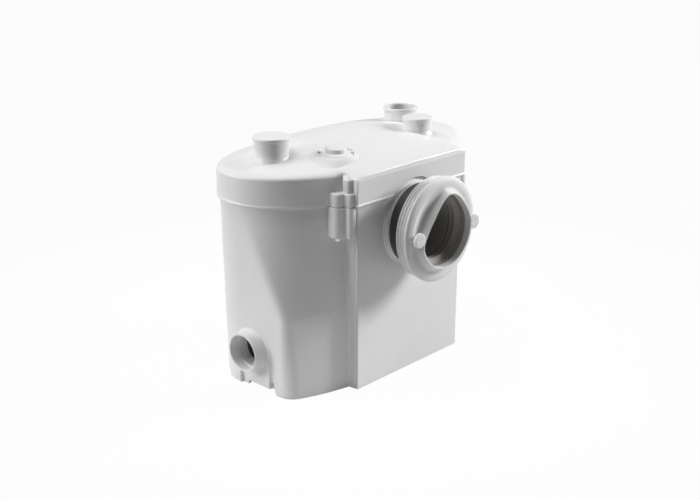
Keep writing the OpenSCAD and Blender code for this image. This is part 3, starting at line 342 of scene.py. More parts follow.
def noise(tree, place, scale, detail=3.0, rough=0.55):
    """Noise at a place. scale is in bumps per metre, as a socket or a number."""
    node = tree.nodes.new("ShaderNodeTexNoise")
    node.inputs["Detail"].default_value = detail
    node.inputs["Roughness"].default_value = rough
    tree.links.new(place, node.inputs["Vector"])
    if isinstance(scale, bpy.types.NodeSocket):
        tree.links.new(scale, node.inputs["Scale"])
    else:
        node.inputs["Scale"].default_value = scale
    return node.outputs["Fac"]


def own_place(tree):
    """The object's own coordinates, in metres."""
    return tree.nodes.new("ShaderNodeTexCoord").outputs["Object"]


# Colour of settled dust on plastic and on metal
DUST, METAL_DUST = (0.62, 0.6, 0.57), (0.4, 0.39, 0.37)


def build_moulding():
    """Moulded surface: fine sparkle texture from a spark-eroded mould, slow flow waves, and soft mottling."""
    group, came, out = new_group("moulded_surface", [("Grain", 2600.0), ("Waves", 14.0), ("Wave Share", 0.3)],
                                 ["Height", "Mottle"])
    place = own_place(group)
    fine = noise(group, place, came.outputs["Grain"], 2.0)
    slow = noise(group, place, came.outputs["Waves"], 2.0, 0.4)
    height = maths(group, "ADD", fine, maths(group, "MULTIPLY", slow, came.outputs["Wave Share"]))
    group.links.new(height, out.inputs["Height"])
    patch = noise(group, place, 38.0, 4.0, 0.6)
    mottle = maths(group, "MULTIPLY_ADD", patch, 2.2, -0.6, True)
    group.links.new(mottle, out.inputs["Mottle"])
    return group


def build_dust():
    """Settled dust: grows where the surface looks up, and breaks up in patches."""
    group, came, out = new_group("settled_dust", [("Amount", 0.15), ("Patch", 60.0)], ["Mask"])
    surface = group.nodes.new("ShaderNodeNewGeometry")
    split = group.nodes.new("ShaderNodeSeparateXYZ")
    group.links.new(surface.outputs["Normal"], split.inputs[0])
    up = maths(group, "MULTIPLY_ADD", split.outputs["Z"], 0.5, 0.5, True)
    patch = noise(group, own_place(group), came.outputs["Patch"], 5.0, 0.65)
    mask = maths(group, "MULTIPLY", maths(group, "MULTIPLY", up, patch), came.outputs["Amount"], clamp=True)
    group.links.new(mask, out.inputs["Mask"])
    return group


def build_scuffs():
    """Handling marks: thin noise streaks that stand out above a threshold."""
    group, came, out = new_group("handling_marks", [("Scale", 90.0), ("Amount", 0.3)], ["Mask"])
    place = own_place(group)
    turn = group.nodes.new("ShaderNodeMapping")
    turn.inputs["Rotation"].default_value = (0.5, 0.3, 0.9)
    turn.inputs["Scale"].default_value = (1.0, 7.0, 2.0)
    group.links.new(place, turn.inputs["Vector"])
    streak = noise(group, turn.outputs[0], came.outputs["Scale"], 4.0, 0.6)
    sharp = maths(group, "MULTIPLY_ADD", streak, 6.0, -3.4, True)
    group.links.new(maths(group, "MULTIPLY", sharp, came.outputs["Amount"]), out.inputs["Mask"])
    return group


def build_machining():
    """Turned metal: noise stretched across the upright axis, so that it runs in rings, and a slow stain."""
    group, came, out = new_group("machined_lines", [("Lines", 1800.0), ("Round", 60.0)], ["Height", "Stain"])
    place = own_place(group)
    turn = group.nodes.new("ShaderNodeMapping")
    turn.inputs["Scale"].default_value = (0.05, 0.05, 1.0)
    group.links.new(place, turn.inputs["Vector"])
    lines = noise(group, turn.outputs[0], came.outputs["Lines"], 2.0)
    group.links.new(lines, out.inputs["Height"])
    group.links.new(noise(group, place, came.outputs["Round"], 4.0), out.inputs["Stain"])
    return group


GROUPS = {
    "moulding": build_moulding(),
    "dust": build_dust(),
    "scuffs": build_scuffs(),
    "machining": build_machining(),
}


def use(tree, kind, **values):
    """Places one of the shared groups in a material with its own values."""
    node = tree.nodes.new("ShaderNodeGroup")
    node.node_tree = GROUPS[kind]
    for label, value in values.items():
        node.inputs[label.replace("_", " ")].default_value = value
    return node


def mix(tree, share, first, second):
    """Colour mix of two colours or sockets by a share socket."""
    node = tree.nodes.new("ShaderNodeMix")
    node.data_type = "RGBA"
    tree.links.new(share, node.inputs[0])
    for socket, value in ((node.inputs[6], first), (node.inputs[7], second)):
        if isinstance(value, bpy.types.NodeSocket):
            tree.links.new(value, socket)
        else:
            socket.default_value = (*value, 1.0)
    return node.outputs[2]


def bumped(tree, height, strength, distance):
    """A bump node fed by a height socket."""
    node = tree.nodes.new("ShaderNodeBump")
    node.inputs["Strength"].default_value = strength
    node.inputs["Distance"].default_value = distance
    tree.links.new(height, node.inputs["Height"])
    return node.outputs["Normal"]


def start(name):
    """An empty node material with its Principled shader."""
    material = bpy.data.materials.new(name)
    material.use_nodes = True
    tree = material.node_tree
    return material, tree, tree.nodes["Principled BSDF"]


def plastic(name, colour, shade, rough, grain=2600.0, depth=0.1, dust=0.1, coat=0.0, specular=0.5):
    """Moulded plastic or rubber: mottled colour, dust, handling marks that dull the gloss, a fine grain."""
    material, tree, body = start(name)
    mould = use(tree, "moulding", Grain=grain)
    dusty = use(tree, "dust", Amount=dust)
    marks = use(tree, "scuffs", Amount=0.15)
    base = mix(tree, mould.outputs["Mottle"], colour, shade)
    grey_dust = tuple(0.5 * c + 0.5 * d for c, d in zip(colour, DUST))
    tree.links.new(mix(tree, dusty.outputs["Mask"], base, grey_dust), body.inputs["Base Color"])
    gloss = maths(tree, "MULTIPLY_ADD", mould.outputs["Mottle"], 0.07, rough - 0.035)
    gloss = maths(tree, "ADD", gloss, maths(tree, "MULTIPLY", marks.outputs["Mask"], 0.3), clamp=True)
    gloss = maths(tree, "ADD", gloss, dusty.outputs["Mask"], clamp=True)
    tree.links.new(gloss, body.inputs["Roughness"])
    tree.links.new(bumped(tree, mould.outputs["Height"], depth, 0.0004), body.inputs["Normal"])
    body.inputs["Specular IOR Level"].default_value = specular
    body.inputs["Coat Weight"].default_value = coat
    return material


def metal(name, colour, stain, rough):
    """Machined metal: ring lines, a slow stain in colour and gloss, and a little dust."""
    material, tree, body = start(name)
    turned = use(tree, "machining", Lines=1800.0)
    dusty = use(tree, "dust", Amount=0.12)
    base = mix(tree, turned.outputs["Stain"], colour, stain)
    tree.links.new(mix(tree, dusty.outputs["Mask"], base, METAL_DUST), body.inputs["Base Color"])
    gloss = maths(tree, "MULTIPLY_ADD", turned.outputs["Stain"], 0.2, rough - 0.1)
    tree.links.new(maths(tree, "ADD", gloss, dusty.outputs["Mask"], clamp=True), body.inputs["Roughness"])
    tree.links.new(bumped(tree, turned.outputs["Height"], 0.12, 0.0003), body.inputs["Normal"])
    body.inputs["Metallic"].default_value = 1.0
    return material


def stacked_sheets(name):
    """Motor laminations: a wave along the upright axis every half millimetre, dark between the sheets."""
    material, tree, body = start(name)
    wave = tree.nodes.new("ShaderNodeTexWave")
    wave.bands_direction = "Z"
    wave.inputs["Scale"].default_value = 314.0
    wave.inputs["Distortion"].default_value = 0.4
    tree.links.new(own_place(tree), wave.inputs["Vector"])
    turned = use(tree, "machining", Lines=900.0)
    base = mix(tree, wave.outputs["Fac"], (0.13, 0.13, 0.14), (0.42, 0.42, 0.43))
    tree.links.new(mix(tree, turned.outputs["Stain"], base, (0.3, 0.29, 0.28)), body.inputs["Base Color"])
    tree.links.new(maths(tree, "MULTIPLY_ADD", turned.outputs["Stain"], 0.2, 0.35), body.inputs["Roughness"])
    tree.links.new(bumped(tree, wave.outputs["Fac"], 0.4, 0.0002), body.inputs["Normal"])
    body.inputs["Metallic"].default_value = 0.9
    return material


def wound_wire(name):
    """Enamelled copper: fine strands from a slanting wave, bent by noise, darker between them."""
    material, tree, body = start(name)
    wave = tree.nodes.new("ShaderNodeTexWave")
    wave.bands_direction = "DIAGONAL"
    wave.inputs["Scale"].default_value = 330.0
    wave.inputs["Distortion"].default_value = 5.0
    wave.inputs["Detail"].default_value = 1.0
    tree.links.new(own_place(tree), wave.inputs["Vector"])
    mould = use(tree, "moulding", Grain=900.0)
    base = mix(tree, wave.outputs["Fac"], (0.16, 0.05, 0.02), (0.72, 0.33, 0.14))
    tree.links.new(mix(tree, mould.outputs["Mottle"], base, (0.5, 0.22, 0.09)), body.inputs["Base Color"])
    tree.links.new(maths(tree, "MULTIPLY_ADD", mould.outputs["Mottle"], 0.15, 0.25), body.inputs["Roughness"])
    tree.links.new(bumped(tree, wave.outputs["Fac"], 0.7, 0.0005), body.inputs["Normal"])
    body.inputs["Metallic"].default_value = 0.85
    return material


def open_foam(name):
    """Charcoal foam: small dark cells from a Voronoi pattern."""
    material, tree, body = start(name)
    cells = tree.nodes.new("ShaderNodeTexVoronoi")
    cells.inputs["Scale"].default_value = 900.0
    tree.links.new(own_place(tree), cells.inputs["Vector"])
    dusty = use(tree, "dust", Amount=0.3)
    base = mix(tree, cells.outputs["Distance"], (0.008, 0.008, 0.009), (0.06, 0.06, 0.062))
    tree.links.new(mix(tree, dusty.outputs["Mask"], base, (0.2, 0.2, 0.19)), body.inputs["Base Color"])
    gloss = maths(tree, "MULTIPLY_ADD", cells.outputs["Distance"], 0.1, 0.85)
    tree.links.new(gloss, body.inputs["Roughness"])
    tree.links.new(bumped(tree, cells.outputs["Distance"], 0.9, 0.001), body.inputs["Normal"])
    return material


# Finish of each material slot, and the painted shade of the dark skin inside the connector
FINISH = {
    "white_plastic": plastic("satin_white_plastic", (0.80, 0.80, 0.795), (0.775, 0.775, 0.77), 0.40,
                             dust=0.05),
    "off_white_plastic": plastic("off_white_plastic", (0.72, 0.71, 0.68), (0.68, 0.67, 0.63), 0.45,
                                 dust=0.08),
    "white_rubber": plastic("white_rubber", (0.79, 0.79, 0.785), (0.74, 0.74, 0.735), 0.52,
                            grain=1700.0, depth=0.16, dust=0.08, specular=0.4),
    # Painted shade: dark rubber that stands in for the shade deep inside the white rubber connector
    "rubber_painted_shade": plastic("rubber_painted_shade", (0.37, 0.35, 0.33), (0.3, 0.285, 0.265), 0.6,
                             grain=1700.0, depth=0.16, dust=0.05, specular=0.3),
    "black_rubber": plastic("black_rubber", (0.022, 0.022, 0.023), (0.03, 0.03, 0.031), 0.62,
                            grain=1500.0, depth=0.2, dust=0.2, specular=0.35),
    "black_foam": open_foam("charcoal_foam"),
    "black_plastic": plastic("black_plastic", (0.02, 0.02, 0.021), (0.03, 0.03, 0.031), 0.4, dust=0.15),
    "grey_plastic": plastic("grey_plastic", (0.2, 0.205, 0.215), (0.24, 0.245, 0.25), 0.45, dust=0.15),
    "dark_clip": plastic("dark_clip", (0.018, 0.018, 0.019), (0.03, 0.03, 0.03), 0.32,
                         grain=2000.0, depth=0.1, dust=0.08, coat=0.15),
    "stainless": metal("stainless_steel", (0.62, 0.62, 0.63), (0.5, 0.5, 0.5), 0.32),
    "laminations": stacked_sheets("motor_laminations"),
    "copper_wire": wound_wire("enamelled_copper"),
}

# The solids' own finishes. The side valve's seat shows inside the spigot, so it gets the tank's white
for part in frame["record"]["subparts"]:
    node = frame["nodes"][part["node"]]
    node.data.materials.clear()
    slot = "white_plastic" if part["node"] == "side_valve_seat" else part["material_slot"]
    node.data.materials.append(FINISH[slot])


# ---------------------------------------------------------------------------
# Tank and lid: a plan shape as a distance from the oval's centre for each angle, row by row
# ---------------------------------------------------------------------------
def oval_reach(t, half, front, back, rear=REAR_N):
    """Superellipse as a distance for each angle, with a half length and a reach to the front and to the back.

    Its power is OVAL_N before the centre, and rear behind it."""
    behind = np.sin(t) > 0
    reach = np.where(behind, back, front)
    power = np.where(behind, rear, OVAL_N)
    return ((np.abs(np.cos(t)) / half) ** power + (np.abs(np.sin(t)) / reach) ** power) ** (-1.0 / power)


def with_box(t, reach, half, front, corner, hollow):
    """Joins the box in front: the smaller of its two walls, then the larger of box and oval, both softly."""
    c, s = np.maximum(np.abs(np.cos(t)), 1e-6), np.maximum(np.abs(np.sin(t)), 1e-6)
    box = soft_less(half / c, front / s, corner)
    return np.where(np.sin(t) < 0, soft_more(reach, box, hollow), reach)


def crowded_angles():
    """Angles round the centre: their density is a base plus flat-topped bells of the angle from the X axis.

    The bells lie at the box's corners, over the hollows beside them, and along the side faces."""
    t = np.linspace(-np.pi, np.pi, 14401)
    deg = np.degrees(t)
    fold = np.where(np.abs(deg) > 90, 180 - np.abs(deg), np.abs(deg)) * np.where(deg < 0, -1, 1)
    crowd = np.full_like(t, 0.85)
    for middle, width, extra in ((-48.4, 1.9, 10.0), (-44.0, 3.4, 2.5), (0.0, 24.0, 1.6)):
        crowd += extra * np.exp(-((fold - middle) / width) ** 4)
    total = np.concatenate([[0.0], np.cumsum((crowd[1:] + crowd[:-1]) / 2) * (deg[1] - deg[0])])
    count = int(total[-1])
    return np.interp((np.arange(count) + 0.5) * total[-1] / count, total, t)


ANGLES = crowded_angles()[None, :]


def tank_reach(z, inset):
    """Reach of the tank's wall at the height z, drawn in by inset.

    In the front left quarter the half length grows as the corner sweeps out, and a soft side plane limits it.
    Elsewhere the half length is that of the side plane, and the rear gets fuller towards the ground."""
    fall = 1.0 - np.clip(z / SEAM, 0.0, 1.0)
    side = TANK_HALF - HALF_DRAFT * fall
    front = TANK_FRONT + FRONT_FLARE * fall
    back = TANK_BACK + BACK_FLARE * fall
    sweep = FLARE_SWEEP * np.clip((SEAM - z) / (SEAM - FLARE_FULL), 0.0, 1.0)
    half = side / (1.0 - (sweep / front) ** OVAL_N) ** (1.0 / OVAL_N)
    soft = 1.0 + 13.0 * fall
    plain = soft_less(half, side, soft)
    c = np.maximum(np.abs(np.cos(ANGLES)), 1e-6)
    flared = oval_reach(ANGLES, half - inset, front - inset, back - inset)
    flared = soft_less(flared * c, side - inset, soft) / c
    even = oval_reach(ANGLES, plain - inset, front - inset, back - inset, REAR_N + REAR_SWELL * fall)
    reach = np.where((np.sin(ANGLES) < 0) & (np.cos(ANGLES) < 0), flared, even)
    return with_box(ANGLES, reach, BOX_HALF - inset, OVAL_Y - FACE - inset, 3.2, 3.0)


def tank_rows():
    """Rows of the tank's skin: underside, hollow skirt, outer wall, rim, inner wall and floor.

    Gives each row's height, inset from the outer wall and share of the reach, and where the outer wall starts
    and ends. The outer wall's foot is a quarter round of radius 1.3."""
    foot = 1.3
    up = np.array([0.0, 0.25, 0.8, 1.6, 3, 4.5, 6, 8, 10, 12, 13.3, 14.4, 16, 18, 20, 22, 25, 28, 32, 36])
    up = np.concatenate([up, np.arange(40.0, 96.0, 4.0), np.arange(96.0, 216.5, 3.0), [216.0, 216.7]])
    edge = np.maximum(foot - np.sqrt(np.maximum(foot ** 2 - (foot - up) ** 2, 0)), 0) * (up < foot)
    rim = np.array([[217.0, 0.0], [222.0, 0.0], [225.3, 0.0], [226.0, 0.6], [226.0, 2.4], [225.3, 3.0]])
    low_down = [16.0, 14.0, 12.4, 11.5, 11.1]
    down = np.concatenate([np.arange(222.0, 96.0, -6.0), np.arange(92.0, 17.0, -9.0), low_down])
    turn_in = np.interp(down, [11.1, 11.5, 12.4, 14.0, 16.0], [7.6, 6.2, 4.6, 3.4, 3.0])
    skirt = np.array([[8.0, 3.0], [7.0, 3.0], [3.5, 3.0], [0.6, 3.0], [0.1, 2.6], [0.0, 2.0]])
    z = np.concatenate([[FLOOR, FLOOR], skirt[:, 0], up, rim[:, 0], down, [FLOOR_TOP, FLOOR_TOP]])
    inset = np.concatenate([[3.0, 3.0], skirt[:, 1], edge, rim[:, 1], turn_in, [3.0, 3.0]])
    share = np.ones(len(z))
    share[[0, 1, -2, -1]] = 0.35, 0.8, 0.8, 0.35
    first = 2 + len(skirt)
    return z[:, None], inset[:, None], share[:, None], first, first + len(up)


def tank_shell():
    """The tank as one closed skin, with both inlets cut out.

    On the left side bumps move the outer wall's points along X: the web under the side inlet, a pad behind
    it, and a slot at its front. The bottom edge lifts below the web, and a groove runs down each box corner."""
    web_out, slot_in, groove_in, edge_lift = 3.6, 2.2, 1.3, 7.0
    z, inset, share, first, last = tank_rows()
    reach = tank_reach(np.minimum(z, SEAM), inset) * share
    x, y = reach * np.cos(ANGLES), OVAL_Y + reach * np.sin(ANGLES)
    height = np.broadcast_to(z, x.shape).copy()
    on_left = ease((-x - 120.0) / 20.0)
    fade = np.zeros_like(height)
    fade[2:first] = np.clip(1.0 - height[2:first] / FLOOR, 0.0, 1.0)
    fade[first:last] = np.clip(1.0 - height[first:last] / 22.0, 0.0, 1.0)
    height += edge_lift * window(y, -38.0, 5.5, 1.6) * on_left * fade
    outer = np.zeros_like(height)
    outer[first - 3:last] = 1.0
    proud = web_out * np.clip((70.0 - height) / 62.0, 0.0, 1.0) * outer
    from_inlet = np.hypot(np.maximum(height - SIDE_Z, 0.0), y - SIDE_Y)
    web = ease((30.0 - from_inlet) / 3.0 + 0.5) * ease((7.2 - y) / 1.8 - 1.2)
    pad = window(y, 16.0, 38.0, 1.8)
    slot = window(y, -34.6, -32.6, 0.8) * ease((15.0 - height) / 1.2) * outer
    x -= on_left * (proud * np.maximum(web * (1.0 - slot), pad) - slot_in * slot)
    groove = window(y, -93.2, -90.4, 1.6) * window(np.abs(x), 86.0, 96.0, 2.0) * outer
    x -= np.sign(x) * groove_in * groove * ease((BOSS_LOW + 4 - height) / 3.0)
    tank = shell("tank_shell", as_grid(x, y, height), ring=False)
    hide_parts("tank")
    cut_away(tank, [cutter("inlet_cut", turned_inlet([(38.0, -9.0), (38.0, 12.0)], 128)),
                    cutter("side_cut", turned_side([(21.3, 148.0), (21.3, 176.0)], 96))])


def box_line(z):
    """Distance from the oval's centre to the lid's front: upright, then sloping back, joined softly."""
    t = z - ROOF
    return LID_BOX_FRONT - ROOF_SLOPE * (t + np.sqrt(t * t + 1.6)) / 2.0


def lid_rows(inset, count):
    """Rows of the lid's top: height, half length, front, back, box's half width and front, corner and hollow.

    Up to the shoulder's end the rows follow a quarter ellipse. Above it they shrink by k over a paraboloid,
    and the box's stand-out shrinks by k squared. The box's corners and hollows soften as the rows rise."""
    q = np.linspace(0.0, SHOULDER_END, count)
    gone = SHOULDER_W * (1.0 - np.cos(q)) + inset
    z = CREASE + SHOULDER_H * np.sin(q)
    half = LID_BOX_HALF - 0.8 * np.maximum(z - CREASE, 0.0)
    soft = 2.0 + 4.5 * (z - CREASE)
    shoulder = np.stack([z - inset, LID_HALF - gone, LID_FRONT - gone, LID_BACK - gone,
                         half - inset, box_line(z) - inset, soft, 0.7 * soft], -1)
    k = np.concatenate([np.arange(0.97, 0.2, -0.05), [0.15, 0.06]])
    front = DOME_F - inset
    chord = front * (1.0 - (half[-1] / DOME_A) ** OVAL_N) ** (1.0 / OVAL_N)
    stand_out = box_line(SHOULDER_TOP) - inset - chord
    soft = soft[-1] * k
    dome = np.stack([SHOULDER_TOP + DOME_H * (1.0 - k * k) - inset, (DOME_A - inset) * k, front * k,
                     (DOME_B - inset) * k, (half[-1] - inset) * k, chord * k + stand_out * k * k, soft,
                     0.7 * soft], -1)
    return np.concatenate([shoulder, dome])


def lid_shell():
    """The lid as one closed skin: top, shoulder, skirt with its lip, ledge over the tank's rim, inner top."""
    wall = np.array([
        [246.4, 0.0], [244.0, 0.0], [240.0, 0.0], [235.0, 0.0], [230.0, 0.0], [225.0, 0.0],
        [220.6, 0.0], [219.9, -0.1], [219.3, -0.7], [218.4, -0.9], [217.5, -0.8], [217.0, -0.2],
        [217.0, 2.2], [217.4, 2.6], [228.0, 2.6],
        [228.5, 3.0], [228.5, 6.0], [228.8, 6.2], [231.2, 6.2], [231.5, 6.0], [231.5, 3.0],
        [232.0, 2.6], [240.0, 2.6], [243.0, 2.6],
    ])
    d = wall[:, 1]
    soft = np.full(len(d), 2.0)
    skirt = np.stack([wall[:, 0], LID_HALF - d, LID_FRONT - d, LID_BACK - d, LID_BOX_HALF - d,
                      LID_BOX_FRONT - d, soft, 0.7 * soft], -1)
    rows = np.concatenate([lid_rows(0.0, 14)[::-1], skirt, lid_rows(LID_WALL, 8)])
    z, half, front, back, box_half, box_front, corner, hollow = rows.T[:, :, None]
    reach = with_box(ANGLES, oval_reach(ANGLES, half, front, back), box_half, box_front, corner, hollow)
    x, y = reach * np.cos(ANGLES), OVAL_Y + reach * np.sin(ANGLES)
    lid = shell("lid_shell", as_grid(x, y, z), ring=False)
    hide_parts("lid")
    high, stub_wall = 300.0, 1.2
    arch_r, out_r, vent_r, seat_r = 52.6, 20.5, 9.0, 19.83
    cut_away(lid, [
        cutter("arch_cut", turned_inlet([(arch_r, -9.0), (arch_r, 9.0)], 160)),
        cutter("left_cut", rod(LEFT[0], LEFT[1], SEAM, high, LEFT[3] - stub_wall)),
        cutter("right_cut", rod(RIGHT[0], RIGHT[1], SEAM, high, RIGHT[3] - stub_wall)),
        cutter("out_cut", rod(*OUT, SEAM, high, out_r)),
        cutter("vent_cut", rod(*VENT, SEAM, high, vent_r)),
        # A hair off the vent's centre and top, so that no two cutters share a face
        cutter("seat_cut", rod(VENT[0] + 0.01, VENT[1] + 0.02, VENT_LOW - 0.3, high - 1.0, seat_r)),
        cutter("gland_cut", turned_back([(GLAND_BORE, 70.0), (GLAND_BORE, 110.0)], 64)),
    ])


# ---------------------------------------------------------------------------
# Screw bosses at the box corners and at the back
# ---------------------------------------------------------------------------
def smooth_outline(points, soft, count=120):
    """A closed outline with even spacing, averaged along its length with a bell curve of width soft."""
    p = np.asarray(points, float)
    closed = np.vstack([p, p[:1]])
    run = np.concatenate([[0.0], np.cumsum(np.linalg.norm(np.diff(closed, axis=0), axis=1))])
    at = np.arange(count) * run[-1] / count
    even = np.stack([np.interp(at, run, closed[:, 0]), np.interp(at, run, closed[:, 1])], -1)
    step = np.minimum(np.arange(count), count - np.arange(count)) * run[-1] / count
    bell = np.exp(-0.5 * (step / soft) ** 2)
    share = np.fft.fft(bell / bell.sum())[:, None]
    return np.real(np.fft.ifft(np.fft.fft(even, axis=0) * share, axis=0))


def arc(x, y, r, start, end, count=24):
    """Points of a circle's arc between two angles in degrees."""
    t = np.radians(np.linspace(start, end, count))
    return np.stack([x + r * np.cos(t), y + r * np.sin(t)], -1)


def boss(name, outline, side, z0, z1, soft_low, soft_high):
    """An upright column over a left-hand outline, mirrored where side is 1.

    Quarter rounds at both ends draw the outline in along its own normals."""
    q = np.radians(np.linspace(0, 90, 6))
    low = np.stack([z0 + soft_low * (1 - np.sin(q)), soft_low * (1 - np.cos(q))], -1)[::-1]
    high = np.stack([z1 - soft_high * (1 - np.sin(q)), soft_high * (1 - np.cos(q))], -1)
    z, inset = np.concatenate([low, high]).T[:, :, None]
    along = np.roll(outline, -1, 0) - np.roll(outline, 1, 0)
    inward = np.stack([-along[:, 1], along[:, 0]], -1) / np.linalg.norm(along, axis=1)[:, None]
    x = side * -(outline[:, 0] + inset * inward[:, 0])
    y = outline[:, 1] + inset * inward[:, 1]
    shell(name, as_grid(x, y, z), ring=False)


def front_outline(grow):
    """Plan of a left front boss: the lobe's arc, a valley, the rib's arc, and sides back into the wall."""
    lobe = arc(-LOBE[0], LOBE[1], 7.0 + grow, 150, 290)
    rib = arc(-RIB[0], RIB[1], 5.0 + grow, 198, 360)
    back = [[-RIB[0] + 5.0 + grow, -72.0], [-LOBE[0] - 4.0 - grow, -66.0]]
    return smooth_outline(np.concatenate([lobe, rib, back]), 1.1)


def rear_outline(grow):
    """Plan of a left rear boss: a half circle behind straight sides that run forward into the wall."""
    radius = 6.0 + grow
    lobe = arc(-LOBE[0], REAR_LOBE_Y, radius, 0, 180)
    front = [[-LOBE[0] - radius, 79.0], [-LOBE[0] + radius, 79.0]]
    return smooth_outline(np.concatenate([lobe, front]), 0.5)


def rib_column(name, side):
    """The rib above a front boss: a round column that leans back and inwards over the roof and sinks in.

    Its back half is stretched by 3 mm, so that it joins the skirt."""
    z = np.concatenate([np.linspace(BOSS_TOP - 2.0, 245.0, 8), np.linspace(245.6, 254.2, 26)])[:, None]
    over = np.maximum(z - 246.0, 0.0) ** 1.2
    size = 3.9 - 0.1 * over
    t = (np.arange(64) + 0.5)[None, :] * 2 * np.pi / 64
    x = -RIB[0] + 0.8 + 1.3 * over + size * np.cos(t)
    y = RIB[1] + 3.0 + 1.3 * over + size * np.sin(t) + np.where(np.sin(t) > 0, 3.0, 0.0)
    shell(name, as_grid(-side * x, y, z), ring=False)


def bosses():
    """Screw bosses on the tank and on the lid, on both sides, and the ribs above the front ones."""
    tank_top, lid_low = SEAM - 0.4, SEAM + 0.2
    for s, side in ((-1, "left"), (1, "right")):
        boss(f"{side}_tank_boss", front_outline(1.2), s, BOSS_LOW, tank_top, 1.4, 0.5)
        boss(f"{side}_tank_rear_boss", rear_outline(1.2), s, BOSS_LOW, tank_top, 1.4, 0.5)
        boss(f"{side}_lid_boss", front_outline(0.0), s, lid_low, BOSS_TOP, 0.5, 1.5)
        boss(f"{side}_lid_rear_boss", rear_outline(0.0), s, lid_low, BOSS_TOP, 0.5, 1.5)
        rib_column(f"{side}_lid_rib", s)


# ---------------------------------------------------------------------------
# Toilet inlet: tongue, raised ring and spigot of the tank, then the rubber connector and its clip
# ---------------------------------------------------------------------------
def inlet_fittings():
    """Turned pieces on the toilet inlet's axis, from profiles of radius and distance before the face."""
    tongue = rounded([(38.0, -2.8), (52.0, -2.8), (52.0, -0.02), (38.0, -0.02)], 0.5)
    shell("inlet_tongue", turned_inlet(tongue))
    collar = rounded([(38.5, -1.5), (49.2, -1.5), (49.0, 0.0), (48.2, 1.1), (46.2, 1.3), (46.0, 3.5),
                      (38.5, 3.5)], [0.3, 0.3, 0.8, 0.5, 0.6, 0.5, 0.3])
    shell("inlet_collar", turned_inlet(collar))
    pipe = rounded([(36.5, -3.0), (39.9, -3.0), (39.9, 22.0), (36.5, 22.0)], [0.4, 0.4, 1.2, 1.2])
    shell("inlet_spigot", turned_inlet(pipe))


# Rubber connector: radii of the mouth's outside, its bore and the tips of its fins, and where the fins start
MOUTH, BORE, FIN = 43.6, 41.2, 35.0
FIN_PLACES = (38.0, 32.5)


def squashed(profile):
    """A turned profile with the soft mouth as it hangs: two sides are flattened, the upper left one most.

    Each flat is a line at a distance from the axis, met by the circle with a parabola. The share by which it
    draws the radius in fades out from the mouth's wall to the shoulder, and the wall's foot sinks where the
    wall leans in."""
    grid = turned_inlet(profile, 176)
    x, y, z = grid[..., 0], grid[..., 1], grid[..., 2] - INLET_Z
    t, r, h = np.arctan2(z, x), np.hypot(x, z), FACE - y
    line = np.full_like(r, BORE)
    for angle, distance, soft in ((142.6, 29.4, 12.0), (38.0, 40.4, 9.0)):
        c = np.cos(t - math.radians(angle))
        line = np.where(c > 0.2, soft_less(line, distance / np.maximum(c, 0.2), soft), line)
    lean = np.maximum(1.0 - line / BORE, 0.0)
    near = ease((49.0 - r) / 4.0) * ease((h - 40.5) / 5.0)
    foot = np.exp(-((r - 46.6) / 2.2) ** 2) * (h > 44.0)
    share, sink = 1.0 - near * lean, 15.0 * lean * foot
    return np.stack([x * share, FACE - h + sink, INLET_Z + z * share], -1)


def connector():
    """Rubber connector: one profile of sleeve, ribbed flange, rounded shoulder, mouth, lip and inner fins."""
    sleeve_in, sleeve_out, flange = 40.1, 45.3, 58.4
    points = [(sleeve_in, 4.0), (sleeve_out + 0.6, 4.0), (sleeve_out + 1.2, 4.8), (sleeve_out + 1.0, 6.0),
              (sleeve_out, 6.8), (sleeve_out, 36.0), (sleeve_out + 2.2, 38.5),
              (flange - 6.0, 38.5), (flange - 5.2, 36.0), (flange - 4.8, 26.0)]
    soft = [0.3, 0.4, 0.6, 0.6, 0.5, 2.0, 2.0, 2.0, 1.5, 0.5]
    for y in (26.0, 30.0, 34.0):
        points += [(flange - 3.2, y + 0.4), (flange - 0.4, y + 1.0), (flange - 0.4, y + 2.2),
                   (flange - 3.2, y + 2.9)]
        soft += [0.3, 0.6, 0.6, 0.3]
    # The shoulder bulges out of the last rib up to turn_y, and a fillet leads from it to the mouth's neck
    bell, low_y, turn_r, turn_y, neck, neck_y = flange + 1.9, 41.2, 49.5, 45.8, 44.6, 49.5
    q = np.radians(np.linspace(-18, 90, 14))
    shoulder = np.stack([turn_r + (bell - turn_r) * np.cos(q), low_y + (turn_y - low_y) * np.sin(q)], -1)
    q = np.radians(np.linspace(12, 90, 8))
    fillet = np.stack([neck + (turn_r - neck) * (1 - np.sin(q)),
                       turn_y + (neck_y - turn_y) * (1 - np.cos(q))], -1)
    lip = [(MOUTH + 0.5, 51.6), (MOUTH + 0.1, 52.6), (MOUTH - 0.7, 53.0), (BORE + 0.5, 53.0), (BORE, 52.4)]
    fins = [(BORE, 49.0), (BORE, 46.0), (BORE, 43.0), (BORE, 40.0)]
    for y in FIN_PLACES:
        fins += [(BORE, y), (FIN + 0.5, y - 3.2), (FIN, y - 4.6), (FIN + 0.8, y - 5.0), (BORE, y - 2.2)]
    tail = [(BORE, 24.0), (sleeve_in, 24.0)]
    profile = np.concatenate([rounded(points, soft, 3), shoulder, fillet, rounded(lip, 0.4, 3),
                              rounded(fins + tail, 0.3, 2)])
    boot = shell("toilet_connector", squashed(profile), "unit", "white_rubber")
    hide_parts("wc_connector")


def connector_painted_shade_skin():
    """Painted shade: a dark skin inside the white rubber mouth and over its fins, which goes on as a thin
    sleeve down the bore.
    """
    skin = BORE - 0.3
    points = [(BORE + 0.2, 45.0), (skin, 45.0), (skin, 40.0)]
    for y in FIN_PLACES:
        points += [(skin, y + 0.2), (FIN, y - 3.0), (FIN - 0.5, y - 4.8), (FIN + 0.5, y - 5.3),
                   (skin, y - 2.4)]
    points += [(skin, 25.0), (36.6, 22.6), (36.1, 21.0), (36.1, 2.0), (36.3, 2.0), (37.2, 23.0),
               (BORE + 0.2, 25.0)]
    # Painted shade: the dark skin over the white rubber's bore and fins
    shell("connector_painted_shade_skin", squashed(rounded(points, 0.3, 2)), "unit", "rubber_painted_shade")


